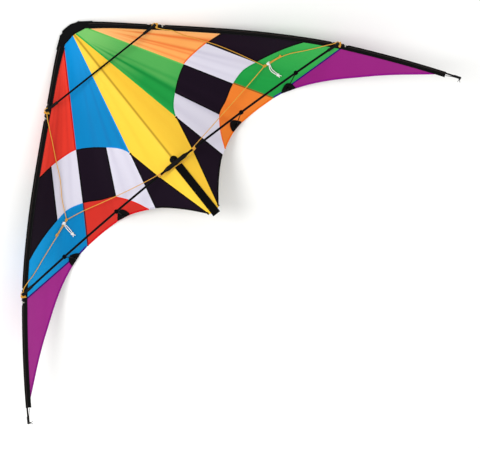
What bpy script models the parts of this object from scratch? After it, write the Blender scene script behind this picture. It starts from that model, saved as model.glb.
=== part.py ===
"""Dual-line delta stunt kite, face up: it rests on its nose and on the sail's edge under the standoffs.

Everything is drawn in the plane of the frame, with x out from the spine, y back from the nose
counted downwards (y = -back) and z towards the flyer. An empty then tilts it onto the ground.
"""

import math

import bmesh
import bpy
import numpy as np
from mathutils import Matrix, Vector

# Plan of the kite, in metres: (out from the spine, back from the nose).
LEADING_EDGE = [
    (0.0550, 0.0146), (0.0774, 0.0320), (0.2098, 0.1467), (0.3299, 0.2519), (0.5235, 0.4316),
    (0.6660, 0.5820), (0.7875, 0.7341), (0.9258, 0.9279), (0.9539, 0.9706),
]
NOSE_OUTLINE = [(0.0, 0.0), (0.0397, 0.0), (0.0794, 0.0298), (0.047, 0.0349), (0.0, 0.0267)]
SAIL_TOP = 0.0280
SAIL_TAIL = 0.8
UPPER_SPREADER_BACK = 0.1735
TEE_BACK = 0.585
LOWER_TIP = (0.6874, 0.613)
LOWER_SPREADER_BOW = 0.0065

# Sail
SAIL_DEPTH = 0.150
DEPTH_BACK = 0.620
DEPTH_GROWTH = 1.2
INNER_RIDGE = 0.37
OUTER_RIDGE = 0.70
RIDGE_ROUNDING = 0.10
SPINE_ROUNDING = 0.015
CLOTH = 0.0006
CELL = 0.036
GAP = 0.0003

# Seams between the panels
CENTRE_KINK = (0.1005, 0.460)
TAIL_KINK = (0.0757, 0.5782)
TAIL_CORNER = (0.0200, 0.7945)
ARC_MEETS_EDGE = 0.3365
ARC = [
    (0.3394, 0.329), (0.288, 0.3295), (0.2366, 0.3367), (0.2006, 0.356), (0.1506, 0.3949),
    (0.1125, 0.435),
]
OUTER_ARC_MEETS_EDGE = 0.539
OUTER_ARC = [
    (0.5593, 0.519), (0.497, 0.499), (0.4367, 0.4855), (0.3916, 0.4784), (0.3315, 0.4933),
    (0.2733, 0.5255), (0.2272, 0.5473), (0.2142, 0.5632), (0.190, 0.6003), (0.1660, 0.6536),
]
CHECK_EDGE = (0.1480, 0.6633)
TAIL_CURVE = [TAIL_CORNER, (0.0608, 0.7446), (0.0968, 0.7064), CHECK_EDGE, OUTER_ARC[-1]]
INNER_CURVE = [
    OUTER_ARC[-1], (0.2269, 0.6266), (0.2722, 0.6174), (0.3089, 0.6158), (0.3505, 0.6157),
    (0.4111, 0.6190),
]
OUTER_CURVE = [INNER_CURVE[-1], (0.4442, 0.6239), (0.470, 0.632)]
TIP_CURVE = [
    (0.470, 0.632), (0.4934, 0.6404), (0.5365, 0.6581), (0.6116, 0.6991), (0.6708, 0.7381),
    (0.7552, 0.7972), (0.8536, 0.8754), (0.912, 0.924),
]
PURPLE_MEETS_EDGE = 0.6294
PURPLE_CORNER = (0.4893, 0.6187)
NOSE_CORNER = (0.055, 0.0345)
EDGE_START = 0.035

# How far apart the points of a curve lie
SEAM_STEP = 0.02
TAIL_STEP = 0.025
TIP_STEP = 0.03
EDGE_STEP = 0.035
SLEEVE_STEP = 0.04
ROD_STEP = 0.03
PATCH_STEP = 0.006

# Rods and fittings
ROD = 0.006
THIN_ROD = 0.005
STANDOFF_ROD = 0.003
BORE_PLAY = 0.0003
SPINE_LEVEL = -0.0042
SPREADER_LEVEL = 0.0085
ROD_INSET = 0.0045
SLEEVE_WIDTH = 0.019
SLEEVE_WALL = 0.0006
SLEEVE_BOW = 0.0044
TAIL_OPENING = 0.0009
SAIL_TUCK = 0.004
NOSE_FRONT = 0.0045
NOSE_BACK = 0.0085
ROD_START = 0.0188
ROD_END_IN_NOCK = 0.010
SPINE_START = 0.012
SPINE_POCKET = (0.0117, 0.060)
ROD_POCKET = 0.040
SLEEVE_CUTS = [(0.0314, 0.1545), (0.194, 0.594), (0.639, 0.920)]
SLEEVE_NAMES = ["sleeve_nose", "sleeve_middle", "sleeve_tip"]
TEE_RADIUS = 0.007
TEE_LENGTH = 0.080
TEE_ARM_RADIUS = 0.0052
TEE_ARM_LENGTH = 0.100
TEE_SPINE_RADIUS = 0.006
TEE_SPINE_LENGTH = 0.022
TEE_HOLE = (0.009, 0.568, 0.602)
TEE_WEB = (0.010, 0.022, 0.012)
FITTING_RADIUS = 0.0055
POST_RADIUS = 0.0052
UPPER_SOCKET = 0.046
LOWER_SOCKET = 0.040
SOCKET_FLOOR = 0.12
FITTING_LENGTH = 0.030
ROD_STOP = 0.0095
NOCK_RADIUS = 0.0045
NOCK_LENGTH = 0.026
STRAP_HALF_WIDTH = 0.0143
STRAP_START = 0.5970
STRAP_END = 0.808
STRAP_THICKNESS = 0.0015
STRAP_EASE = 0.0007
PATCH_THICKNESS = 0.001
PATCH_EASE = 0.0017

# Standoffs: where each foot meets the sail, and how far out its ring was slid along each spreader.
STANDOFFS = {
    "inner": ((0.249, 0.6135), {"R": 0.2815, "L": 0.2640}),
    "outer": ((0.4693, 0.6245), {"R": 0.5125, "L": 0.4980}),
}
PATCHES = {
    "inner": [
        (0.2285, 0.6240), (0.2320, 0.6062), (0.2434, 0.5920), (0.2540, 0.5925), (0.2640, 0.6030),
        (0.2745, 0.6150),
    ],
    "outer": [(0.4450, 0.6232), (0.461, 0.6125), (0.4805, 0.6090), (0.4910, 0.6190), (0.4945, 0.6394)],
}
RING_RADIUS = 0.0075
RING_WIDTH = 0.008
NECK_RADIUS = 0.003
NECK = (0.005, 0.020)
FOOT_RADIUS = 0.004
FOOT_LENGTH = 0.016
SLOPE_STEP = 0.002

# Bridle lines as routes of (out, back, level in front of the frame's plane).
LINE = 0.0026
PIGTAIL = 0.0034
LINE_STEP = 0.010
BRIDLE = {
    "bridle_upper_L": [
        (-0.2405, 0.1808, 0.0085), (-0.2551, 0.2057, 0.0065), (-0.2605, 0.2165, 0.0045),
        (-0.2697, 0.2345, -0.0080), (-0.2823, 0.2612, -0.0215), (-0.3121, 0.3195, -0.0438),
        (-0.3441, 0.3850, -0.0684), (-0.3803, 0.4410, -0.0841), (-0.4064, 0.4937, -0.1014),
        (-0.411, 0.503, -0.1045), (-0.4185, 0.5053, -0.1029), (-0.4708, 0.5245, -0.087),
    ],
    "bridle_upper_R": [
        (0.2339, 0.1828, 0.0085), (0.2460, 0.1995, 0.0065), (0.2587, 0.2120, 0.0045),
        (0.2725, 0.2262, 0.0038), (0.2817, 0.2430, -0.0050), (0.2936, 0.2618, -0.0150),
        (0.3200, 0.2963, -0.0238), (0.3632, 0.3556, -0.0387), (0.4073, 0.4293, -0.0625),
        (0.4471, 0.5034, -0.0883), (0.4525, 0.5135, -0.0918), (0.4605, 0.5143, -0.0885),
        (0.5132, 0.5218, -0.0590),
    ],
    "bridle_lower_L": [
        (-0.413, 0.5062, -0.1053), (-0.4708, 0.5275, -0.0885), (-0.4813, 0.5313, -0.0841),
        (-0.5582, 0.5593, -0.0521), (-0.6239, 0.5839, -0.0195), (-0.6470, 0.5898, 0.0050),
        (-0.6586, 0.5933, 0.0070), (-0.6741, 0.5996, 0.0085),
    ],
    "bridle_lower_R": [
        (0.4540, 0.5170, -0.0930), (0.5135, 0.5256, -0.0610), (0.5370, 0.5334, -0.0492),
        (0.5874, 0.5598, -0.0318), (0.6270, 0.5800, -0.0150), (0.6470, 0.5895, 0.0050),
        (0.6553, 0.5934, 0.0070), (0.6750, 0.6030, 0.0085), (0.6868, 0.6056, 0.0085),
    ],
    "bridle_inner_L": [
        (-0.4075, 0.5045, -0.1057), (-0.36, 0.5130, -0.1105), (-0.28, 0.5335, -0.097),
        (-0.20, 0.554, -0.067), (-0.12, 0.572, -0.023), (-0.0715, 0.5812, 0.0085),
    ],
    "bridle_inner_R": [
        (0.4490, 0.5150, -0.0943), (0.36, 0.532, -0.1075), (0.28, 0.546, -0.096),
        (0.20, 0.56, -0.068), (0.12, 0.574, -0.023), (0.0784, 0.5812, 0.0085),
    ],
    "bridle_centre": [
        (-0.0715, 0.5899, 0.0085), (-0.055, 0.5925, 0.008), (-0.04, 0.595, 0.007),
        (0.0, 0.5985, 0.0055), (0.04, 0.595, 0.007), (0.055, 0.5925, 0.008),
        (0.0784, 0.5901, 0.0085),
    ],
}
PIGTAILS = {
    "pigtail_L": [(-0.4270, 0.5127, -0.1021), (-0.4230, 0.5380, -0.1165), (-0.4180, 0.5560, -0.1235)],
    "pigtail_R": [(0.4685, 0.5204, -0.0864), (0.4640, 0.5385, -0.1000), (0.4725, 0.5680, -0.1130)],
}

COLOURS = {
    "yellow": (1.0, 0.70, 0.05),
    "blue": (0.0, 0.27, 0.63),
    "green": (0.02, 0.42, 0.10),
    "red": (0.80, 0.03, 0.02),
    "orange": (0.90, 0.22, 0.03),
    "white": (0.70, 0.67, 0.78),
    "black": (0.012, 0.008, 0.010),
    "purple": (0.33, 0.01, 0.24),
    "gold": (0.55, 0.36, 0.02),
    "line_white": (0.75, 0.75, 0.72),
    "plastic": (0.015, 0.015, 0.016),
}


def smooth(points, step):
    """Points about one step apart on a smooth curve through the given ones."""
    knots = np.array(points, float)
    gaps = np.linalg.norm(np.diff(knots, axis=0), axis=1)[:, None]
    ways = np.diff(knots, axis=0) / gaps
    turned = (ways[:-1] * gaps[1:] + ways[1:] * gaps[:-1]) / (gaps[1:] + gaps[:-1])
    heading = np.vstack([ways[0], turned, ways[-1]])
    found = []
    for i, gap in enumerate(gaps[:, 0]):
        count = max(1, round(gap / step))
        for t in np.arange(count) / count:
            ends = knots[i] * (2 * t**3 - 3 * t**2 + 1) + knots[i + 1] * (3 * t**2 - 2 * t**3)
            bend = heading[i] * (t**3 - 2 * t**2 + t) + heading[i + 1] * (t**3 - t**2)
            found.append(ends + gap * bend)
    return np.array([*found, knots[-1]])


def moved_inwards(line, distance):
    """The line of a right-hand edge, shifted towards the spine."""
    along = np.gradient(line, axis=0)
    inwards = np.stack([-along[:, 1], along[:, 0]], axis=1)
    return line + distance * inwards / np.linalg.norm(inwards, axis=1)[:, None]


EDGE_LINE = smooth(LEADING_EDGE, 0.01)
ROD_LINE = moved_inwards(EDGE_LINE, ROD_INSET)
SAIL_LINE = moved_inwards(EDGE_LINE, SLEEVE_WIDTH - SAIL_TUCK)


def between(line, start, end, step):
    """The stretch of a line between two distances back from the nose."""
    count = max(2, round(abs(end - start) / step) + 1)
    back = np.linspace(start, end, count)
    return [(float(np.interp(b, line[:, 1], line[:, 0])), float(b)) for b in back]


def on_edge(back):
    """Where the sail meets the right sleeve, at this distance back."""
    return float(np.interp(back, SAIL_LINE[:, 1], SAIL_LINE[:, 0])), back


ROD_END = LEADING_EDGE[-1][1] - ROD_END_IN_NOCK
ROD_ROUTE = np.array(between(ROD_LINE, ROD_START, ROD_END, ROD_STEP))


def sail_height(out, back):
    """How far the sail lies in front of the frame's plane; it is behind it, so never above 0."""
    edge = np.interp(back, SAIL_LINE[:, 1], SAIL_LINE[:, 0])
    rounded = math.hypot(out, SPINE_ROUNDING) - SPINE_ROUNDING
    share = min(rounded / edge, 1.0)
    ramps = [share / INNER_RIDGE, 1.0, (1.0 - share) / (1.0 - OUTER_RIDGE)]
    taut = -RIDGE_ROUNDING * math.log(sum(math.exp(-r / RIDGE_ROUNDING) for r in ramps))
    growth = max(back, 0.0) / DEPTH_BACK
    return -SAIL_DEPTH * growth**DEPTH_GROWTH * max(taut, 0.0)


def lower_spreader_back(out):
    share = abs(out) / LOWER_TIP[0]
    bow = 4 * LOWER_SPREADER_BOW * share * (1 - share)
    return TEE_BACK + (LOWER_TIP[1] - TEE_BACK) * share - bow


def rod_at(back):
    """The point of the right leading-edge rod, and its direction, at this distance back."""
    out, ahead = np.interp([back, back + SLOPE_STEP], ROD_ROUTE[:, 1], ROD_ROUTE[:, 0])
    way = Vector((float(ahead - out), -SLOPE_STEP, 0))
    return Vector((float(out), -back, 0)), way.normalized()


# Scene and materials


def new_collection(name, parent):
    made = bpy.data.collections.new(name)
    parent.children.link(made)
    return made


def clear_scene():
    for obj in list(bpy.data.objects):
        bpy.data.objects.remove(obj)


clear_scene()
KITE = new_collection("stunt_kite", bpy.context.scene.collection)
CUTTERS = new_collection("cutters", bpy.context.scene.collection)
CUTTERS.hide_render = True
FRAME = bpy.data.objects.new("kite_frame", None)
KITE.objects.link(FRAME)


def material(colour, roughness):
    name = f"{colour}_{round(roughness * 100)}"
    found = bpy.data.materials.get(name)
    if found:
        return found
    made = bpy.data.materials.new(name)
    made.use_nodes = True
    shader = made.node_tree.nodes["Principled BSDF"]
    shader.inputs["Base Color"].default_value = (*COLOURS[colour], 1)
    shader.inputs["Roughness"].default_value = roughness
    shader.inputs["Metallic"].default_value = 0.0
    return made


def add_part(name, data, colour, roughness=0.6, pivot=None):
    """A named sub-part, drawn in the frame's plane and carried by the frame's empty."""
    part = bpy.data.objects.new(name, data)
    KITE.objects.link(part)
    part.parent = FRAME
    if pivot is not None:
        data.transform(Matrix.Translation(-pivot))
        part.location = pivot
    data.materials.clear()
    data.materials.append(material(colour, roughness))
    return part


def smooth_shaded(mesh):
    mesh.shade_smooth()
    mesh.set_sharp_from_angle(angle=math.radians(40))
    return mesh


# Shapes


def curve_of(points, radius, closed=False):
    data = bpy.data.curves.new("line", "CURVE")
    data.dimensions = "3D"
    data.bevel_depth = radius
    data.bevel_resolution = 2
    data.use_fill_caps = radius > 0
    spline = data.splines.new("POLY")
    spline.points.add(len(points) - 1)
    for point, place in zip(spline.points, points):
        point.co = (*place, 1)
    spline.use_cyclic_u = closed
    return data


def mesh_of(curve):
    """A curve made a mesh, with its caps welded to its sides."""
    holder = bpy.data.objects.new("holder", curve)
    bpy.context.scene.collection.objects.link(holder)
    graph = bpy.context.evaluated_depsgraph_get()
    mesh = bpy.data.meshes.new_from_object(holder.evaluated_get(graph))
    bpy.data.objects.remove(holder)
    work = bmesh.new()
    work.from_mesh(mesh)
    bmesh.ops.remove_doubles(work, verts=work.verts, dist=0.00002)
    bmesh.ops.recalc_face_normals(work, faces=work.faces)
    work.to_mesh(mesh)
    work.free()
    return mesh


def cylinder(start, end, radius, segments=14):
    """A solid cylinder between two points, as a mesh."""
    axis = Vector(end) - Vector(start)
    turn = axis.to_track_quat("Z", "Y").to_matrix().to_4x4()
    place = Matrix.Translation((Vector(start) + Vector(end)) / 2) @ turn
    work = bmesh.new()
    bmesh.ops.create_cone(
        work, cap_ends=True, segments=segments, radius1=radius, radius2=radius,
        depth=axis.length, matrix=place,
    )
    mesh = bpy.data.meshes.new("cylinder")
    work.to_mesh(mesh)
    work.free()
    return mesh


def ball(centre, radius):
    work = bmesh.new()
    bmesh.ops.create_uvsphere(
        work, u_segments=10, v_segments=6, radius=radius, matrix=Matrix.Translation(centre)
    )
    mesh = bpy.data.meshes.new("ball")
    work.to_mesh(mesh)
    work.free()
    return mesh


def box(centre, size):
    work = bmesh.new()
    place = Matrix.Translation(centre) @ Matrix.Diagonal((*size, 1))
    bmesh.ops.create_cube(work, size=1, matrix=place)
    mesh = bpy.data.meshes.new("box")
    work.to_mesh(mesh)
    work.free()
    return mesh


def combined(body, joined, cut):
    """The body mesh with the joined meshes added and the cut ones taken away."""
    base = bpy.data.objects.new("base", body)
    bpy.context.scene.collection.objects.link(base)
    helpers = []
    for operation, meshes in (("UNION", joined), ("DIFFERENCE", cut)):
        for mesh in meshes:
            tool = bpy.data.objects.new("tool", mesh)
            CUTTERS.objects.link(tool)
            helpers.append(tool)
            step = base.modifiers.new(operation, "BOOLEAN")
            step.operation = operation
            step.solver = "EXACT"
            step.object = tool
    graph = bpy.context.evaluated_depsgraph_get()
    made = bpy.data.meshes.new_from_object(base.evaluated_get(graph))
    for helper in [base, *helpers]:
        bpy.data.objects.remove(helper)
    return smooth_shaded(made)


def inset(outline, distance):
    """A closed outline drawn in by the same distance on every side."""
    points = np.array(outline, float)
    following = np.roll(points, -1, axis=0)
    area = (points[:, 0] * following[:, 1] - following[:, 0] * points[:, 1]).sum()
    side = (following - points) / np.linalg.norm(following - points, axis=1)[:, None]
    normal = np.stack([-side[:, 1], side[:, 0]], axis=1) * np.sign(area)
    before = np.roll(normal, 1, axis=0)
    spread = (normal + before) / (1 + (normal * before).sum(axis=1))[:, None]
    return points + distance * spread


def cloth(outline, lift):
    """A sheet with this outline, lying on the sail's surface at this height."""
    flat = curve_of([(x, -y, 0) for x, y in inset(outline, GAP / 2)], 0, closed=True)
    flat.dimensions = "2D"
    flat.fill_mode = "BOTH"
    sheet = mesh_of(flat)
    work = bmesh.new()
    work.from_mesh(sheet)
    inner = [edge for edge in work.edges if len(edge.link_faces) == 2]
    bmesh.ops.dissolve_edges(work, edges=inner)
    for axis in (0, 1):
        values = [vertex.co[axis] for vertex in work.verts]
        for line in range(math.ceil(min(values) / CELL), math.floor(max(values) / CELL) + 1):
            place = Vector((0, 0, 0))
            place[axis] = line * CELL
            normal = Vector((axis == 0, axis == 1, 0))
            geometry = [*work.verts, *work.edges, *work.faces]
            bmesh.ops.bisect_plane(work, geom=geometry, plane_co=place, plane_no=normal, dist=1e-5)
    bmesh.ops.triangulate(work, faces=work.faces)
    for vertex in work.verts:
        vertex.co.z = sail_height(abs(vertex.co.x), -vertex.co.y) + lift
    bmesh.ops.recalc_face_normals(work, faces=work.faces)
    if sum(face.normal.z for face in work.faces) < 0:
        bmesh.ops.reverse_faces(work, faces=work.faces)
    work.to_mesh(sheet)
    work.free()
    return sheet


def add_cloth(name, outline, colour, lift=0.0, thickness=CLOTH):
    part = add_part(name, cloth(outline, lift), colour, 0.7)
    shell = part.modifiers.new("thickness", "SOLIDIFY")
    shell.thickness = thickness
    shell.offset = 0
    return part


# Sail


def smooth_points(points, step):
    return [tuple(point) for point in smooth(points, step)]


def centre_outline():
    half_width, start, end = TEE_HOLE
    hole = [(0, end), (half_width, end), (half_width, start), (0, start)]
    seam = [(0.005, SAIL_TOP), CENTRE_KINK, TAIL_KINK, TAIL_CORNER]
    return [(0, SAIL_TOP), *seam, (0, SAIL_TAIL), *hole]


def arc_points():
    return smooth_points([on_edge(ARC_MEETS_EDGE), *ARC, CENTRE_KINK], SEAM_STEP)


def outer_arc_points():
    return smooth_points([on_edge(OUTER_ARC_MEETS_EDGE), *OUTER_ARC], SEAM_STEP)


def stretch(points, start, end):
    """The stretch of a polyline between the two of its points nearest to these places."""
    first, last = (min(range(len(points)), key=lambda i: math.dist(points[i], p)) for p in (start, end))
    step = 1 if last >= first else -1
    return [points[i] for i in range(first, last + step, step)]


def panel_outlines():
    """The outline of each panel of the right half, by name, with its colours right and left."""
    arc = arc_points()
    outer = outer_arc_points()
    tail = smooth_points(TAIL_CURVE, TAIL_STEP)
    inner = smooth_points(INNER_CURVE, TAIL_STEP)
    outside = smooth_points(OUTER_CURVE, TAIL_STEP)
    tip = smooth_points(TIP_CURVE, TIP_STEP)

    def edge(start, end):
        return between(SAIL_LINE, start, end, EDGE_STEP)

    corners = {0: arc[0], 1: ARC[0], 2: ARC[2], 3: ARC[4], 4: CENTRE_KINK}
    feet = {0: outer[0], 1: OUTER_ARC[2], 2: OUTER_ARC[4], 3: OUTER_ARC[6], 4: CHECK_EDGE}
    checks = {}
    for number in (1, 2, 3):
        above = stretch(arc, corners[number], corners[number + 1])
        if number == 3:
            below = [*stretch(tail, CHECK_EDGE, TAIL_CURVE[-1])]
            below += stretch(outer, OUTER_ARC[-1], feet[3])[1:]
        else:
            below = stretch(outer, feet[number + 1], feet[number])
        checks[number] = [*above, *below]
    first = [*edge(ARC_MEETS_EDGE, OUTER_ARC_MEETS_EDGE), *stretch(outer, feet[0], feet[1])]
    first += stretch(arc, corners[1], corners[0])
    last = [CENTRE_KINK, TAIL_KINK, *stretch(tail, TAIL_CORNER, CHECK_EDGE)]
    tuck = edge(EDGE_START, ARC_MEETS_EDGE)
    nose = [(0.005, SAIL_TOP), (0.047, 0.0355), NOSE_CORNER]
    black, white = ("black", "black"), ("white", "white")
    return {
        "centre": (centre_outline(), ("yellow", "yellow")),
        "upper": ([*nose, *stretch(arc, ARC[2], CENTRE_KINK)], ("green", "blue")),
        "leading": ([NOSE_CORNER, *tuck, *stretch(arc, arc[0], ARC[2])], ("orange", "red")),
        "check_1": (first, black),
        "check_2": (checks[1], white),
        "check_3": (checks[2], black),
        "check_4": (checks[3], white),
        "check_5": (last, black),
        "lower_inner": ([*stretch(outer, OUTER_ARC[4], OUTER_ARC[-1]), *inner[1:]], ("orange", "red")),
        "lower_outer": (
            [
                *stretch(outer, OUTER_ARC[4], outer[0]),
                *edge(OUTER_ARC_MEETS_EDGE, PURPLE_MEETS_EDGE),
                PURPLE_CORNER,
                *reversed(outside),
            ],
            ("green", "blue"),
        ),
        "tip": (
            [*edge(PURPLE_MEETS_EDGE, TIP_CURVE[-1][1]), *reversed(tip), PURPLE_CORNER],
            ("purple", "purple"),
        ),
    }


def without_repeats(outline):
    kept = [outline[0]]
    for point in outline[1:]:
        if math.dist(point, kept[-1]) > 0.001:
            kept.append(point)
    if math.dist(kept[0], kept[-1]) < 0.001:
        kept.pop()
    return kept


def mirrored(outline, side):
    return [(side * x, y) for x, y in outline]


def add_sail():
    for name, (outline, colours) in panel_outlines().items():
        for side, letter, colour in ((1, "R", colours[0]), (-1, "L", colours[1])):
            shape = mirrored(without_repeats(outline), side)
            add_cloth(f"sail_{name}_{letter}", shape, colour)


def add_trim():
    on_sail = CLOTH / 2 + GAP
    strap = [
        (-STRAP_HALF_WIDTH, STRAP_START), (STRAP_HALF_WIDTH, STRAP_START),
        (STRAP_HALF_WIDTH, STRAP_END), (-STRAP_HALF_WIDTH, STRAP_END),
    ]
    lift = on_sail + STRAP_EASE + STRAP_THICKNESS / 2
    add_cloth("tail_strap", strap, "black", lift, STRAP_THICKNESS)
    lift = on_sail + PATCH_EASE + PATCH_THICKNESS / 2
    for name, line in PATCHES.items():
        rounded = smooth_points(line, PATCH_STEP)
        for side, letter in ((1, "R"), (-1, "L")):
            outline = mirrored(rounded, side)
            add_cloth(f"patch_{name}_{letter}", outline, "black", lift, PATCH_THICKNESS)


# Frame


def flat_line(line, level=0.0):
    return [(x, -y, level) for x, y in line]


def add_sleeves():
    """A sheet wrapped round the rod, its two edges holding the sail between them."""
    arc = [math.radians(a) for a in range(60, 301, 40)]
    wrap = [(ROD_INSET + SLEEVE_BOW * math.cos(a), SLEEVE_BOW * math.sin(a), 0) for a in arc]
    middle = (SLEEVE_WIDTH + ROD_INSET) / 2
    upper = [(SLEEVE_WIDTH, TAIL_OPENING, 0), (middle, TAIL_OPENING, 0)]
    lower = [(x, -z, 0) for x, z, _ in reversed(upper)]
    for name, (start, end) in zip(SLEEVE_NAMES, SLEEVE_CUTS):
        line = between(EDGE_LINE, start, end, SLEEVE_STEP)
        for side, letter in ((1, "R"), (-1, "L")):
            route = flat_line(mirrored(line if side > 0 else line[::-1], side))
            profile = bpy.data.objects.new("profile", curve_of([*upper, *wrap, *lower], 0))
            path = curve_of(route, 0)
            path.twist_mode = "Z_UP"
            path.bevel_mode = "OBJECT"
            path.bevel_object = profile
            path.use_fill_caps = False
            sleeve = add_part(f"{name}_{letter}", smooth_shaded(mesh_of(path)), "black", 0.8)
            bpy.data.objects.remove(profile)
            shell = sleeve.modifiers.new("thickness", "SOLIDIFY")
            shell.thickness = SLEEVE_WALL
            shell.offset = 0


def add_nose():
    half = [Vector((x, -y, 0)) for x, y in NOSE_OUTLINE]
    outline = [*half, *[Vector((-p.x, p.y, 0)) for p in half[-2:0:-1]]]
    flat = curve_of([tuple(p) for p in outline], 0, closed=True)
    flat.dimensions = "2D"
    flat.fill_mode = "BOTH"
    flat.extrude = (NOSE_FRONT + NOSE_BACK) / 2
    body = mesh_of(flat)
    body.transform(Matrix.Translation((0, 0, (NOSE_FRONT - NOSE_BACK) / 2)))
    radius = ROD / 2 + BORE_PLAY
    pockets = [cylinder(*[(0, -back, SPINE_LEVEL) for back in SPINE_POCKET], radius)]
    start, ahead = rod_at(ROD_START)
    for side in (1, -1):
        pocket = [start - ahead * GAP, start + ahead * ROD_POCKET]
        pockets.append(cylinder(*[(side * p.x, p.y, p.z) for p in pocket], radius))
    add_part("nose_webbing", combined(body, [], pockets), "black", 0.8)


def add_rods():
    def rod(name, points, diameter):
        add_part(name, smooth_shaded(mesh_of(curve_of(points, diameter / 2))), "plastic", 0.35)

    rod("spine_rod", [(0, -back, SPINE_LEVEL) for back in (SPINE_START, SAIL_TAIL)], ROD)
    reach = rod_at(UPPER_SPREADER_BACK)[0].x - ROD_STOP
    ends = [(x, -UPPER_SPREADER_BACK, SPREADER_LEVEL) for x in (-reach, reach)]
    rod("upper_spreader", ends, THIN_ROD)
    outs = np.linspace(0.005, rod_at(LOWER_TIP[1])[0].x - ROD_STOP, 9)
    for side, letter in ((1, "R"), (-1, "L")):
        rod(f"leading_rod_{letter}", flat_line(mirrored(ROD_ROUTE, side)), ROD)
        spreader = [(side * x, -lower_spreader_back(x), SPREADER_LEVEL) for x in outs]
        rod(f"lower_spreader_{letter}", spreader, ROD)


def add_tee():
    def across(half, radius):
        ends = [(x, -TEE_BACK, SPREADER_LEVEL) for x in (-half, half)]
        return cylinder(*ends, radius, 16)

    def along(half, radius):
        ends = [(0, -TEE_BACK + y, SPINE_LEVEL) for y in (-half, half)]
        return cylinder(*ends, radius, 16)

    bore = ROD / 2 + 2 * BORE_PLAY
    arms = across(TEE_ARM_LENGTH / 2, TEE_ARM_RADIUS)
    seat = along(TEE_SPINE_LENGTH / 2, TEE_SPINE_RADIUS)
    middle = (SPREADER_LEVEL + SPINE_LEVEL) / 2
    web = box((0, -TEE_BACK, middle), TEE_WEB)
    whole = combined(across(TEE_LENGTH / 2, TEE_RADIUS), [arms, seat, web], [])
    bores = [across(TEE_ARM_LENGTH, bore), along(TEE_SPINE_LENGTH, bore)]
    add_part("centre_tee", combined(whole, [], bores), "plastic", 0.5)


def connector(centre, ahead, top, inner, bore):
    """A grip round the leading rod, and on its back the socket of a spreader."""
    along = ahead * (FITTING_LENGTH / 2)
    out = (top - inner).normalized() * FITTING_RADIUS
    grip = cylinder(centre - along, centre + along, FITTING_RADIUS)
    socket = cylinder(top + out, inner, FITTING_RADIUS)
    post = cylinder(centre, top, POST_RADIUS)
    through = cylinder(centre - along * 2, centre + along * 2, ROD / 2 + 2 * BORE_PLAY)
    blind = cylinder(top.lerp(inner, SOCKET_FLOOR), top.lerp(inner, 1.5), bore)
    return combined(combined(grip, [socket, post], []), [], [through, blind])


def add_connectors():
    places = {
        "upper": (UPPER_SPREADER_BACK, UPPER_SOCKET, THIN_ROD, lambda out: UPPER_SPREADER_BACK),
        "lower": (LOWER_TIP[1], LOWER_SOCKET, ROD, lower_spreader_back),
    }
    for name, (back, length, rod, spreader_back) in places.items():
        centre, ahead = rod_at(back)
        outer, inner = centre.x, centre.x - length
        top = Vector((outer, -spreader_back(outer), SPREADER_LEVEL))
        end = Vector((inner, -spreader_back(inner), SPREADER_LEVEL))
        for side, letter in ((1, "R"), (-1, "L")):
            flip = Vector((side, 1, 1))
            mesh = connector(*[v * flip for v in (centre, ahead, top, end)], rod / 2 + BORE_PLAY)
            add_part(f"{name}_connector_{letter}", mesh, "plastic", 0.5)


def add_nocks():
    before, tip = (Vector((x, -y, 0)) for x, y in ROD_ROUTE[-2:])
    ahead = (tip - before).normalized()
    begin, end = tip - ahead * (NOCK_LENGTH - ROD_END_IN_NOCK), tip + ahead * ROD_END_IN_NOCK
    opening, floor = tip - ahead * NOCK_LENGTH, tip + ahead * GAP
    for side, letter in ((1, "R"), (-1, "L")):
        flip = Vector((side, 1, 1))
        bore = cylinder(opening * flip, floor * flip, ROD / 2 + BORE_PLAY)
        mesh = combined(cylinder(begin * flip, end * flip, NOCK_RADIUS), [], [bore])
        add_part(f"tip_nock_{letter}", mesh, "plastic", 0.5)


def sail_slope(out, back):
    """How steeply the sail falls outwards and backwards at this place."""
    aside = sail_height(out + SLOPE_STEP, back) - sail_height(out - SLOPE_STEP, back)
    behind = sail_height(out, back + SLOPE_STEP) - sail_height(out, back - SLOPE_STEP)
    return aside / (2 * SLOPE_STEP), behind / (2 * SLOPE_STEP)


def standoff(ring, axis, foot):
    down = (foot - ring).normalized()
    body = cylinder(ring - axis * RING_WIDTH / 2, ring + axis * RING_WIDTH / 2, RING_RADIUS, 16)
    neck = cylinder(*[ring + down * reach for reach in NECK], NECK_RADIUS, 8)
    rod = cylinder(ring + down * NECK[0] * 1.2, foot, STANDOFF_ROD / 2, 8)
    cap = cylinder(foot - down * FOOT_LENGTH, foot, FOOT_RADIUS, 10)
    bore = cylinder(ring - axis * RING_WIDTH, ring + axis * RING_WIDTH, ROD / 2 + BORE_PLAY, 16)
    whole = combined(body, [neck, rod, cap, ball(foot, FOOT_RADIUS)], [])
    return combined(whole, [], [bore])


def add_standoffs():
    """Each turns round the lower spreader at its ring; its origin is on that axis."""
    seat = CLOTH / 2 + GAP + PATCH_EASE + PATCH_THICKNESS + GAP
    for name, ((foot_out, foot_back), rings) in STANDOFFS.items():
        steepness = math.hypot(1, *sail_slope(foot_out, foot_back))
        height = sail_height(foot_out, foot_back) + (FOOT_RADIUS + seat) * steepness
        for side, letter in ((1, "R"), (-1, "L")):
            out = rings[letter]
            nearer, further = (lower_spreader_back(out + step) for step in (-SLOPE_STEP, SLOPE_STEP))
            ring = Vector((side * out, -lower_spreader_back(out), SPREADER_LEVEL))
            axis = Vector((side * 2 * SLOPE_STEP, nearer - further, 0)).normalized()
            foot = Vector((side * foot_out, -foot_back, height))
            mesh = standoff(ring, axis, foot)
            add_part(f"standoff_{name}_{letter}", mesh, "plastic", 0.5, pivot=ring)


# Bridle and ground


def add_lines(routes, diameter, colour):
    for name, route in routes.items():
        line = [(x, -y, z) for x, y, z in smooth(route, LINE_STEP)]
        add_part(name, curve_of(line, diameter / 2), colour, 0.7)


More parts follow.
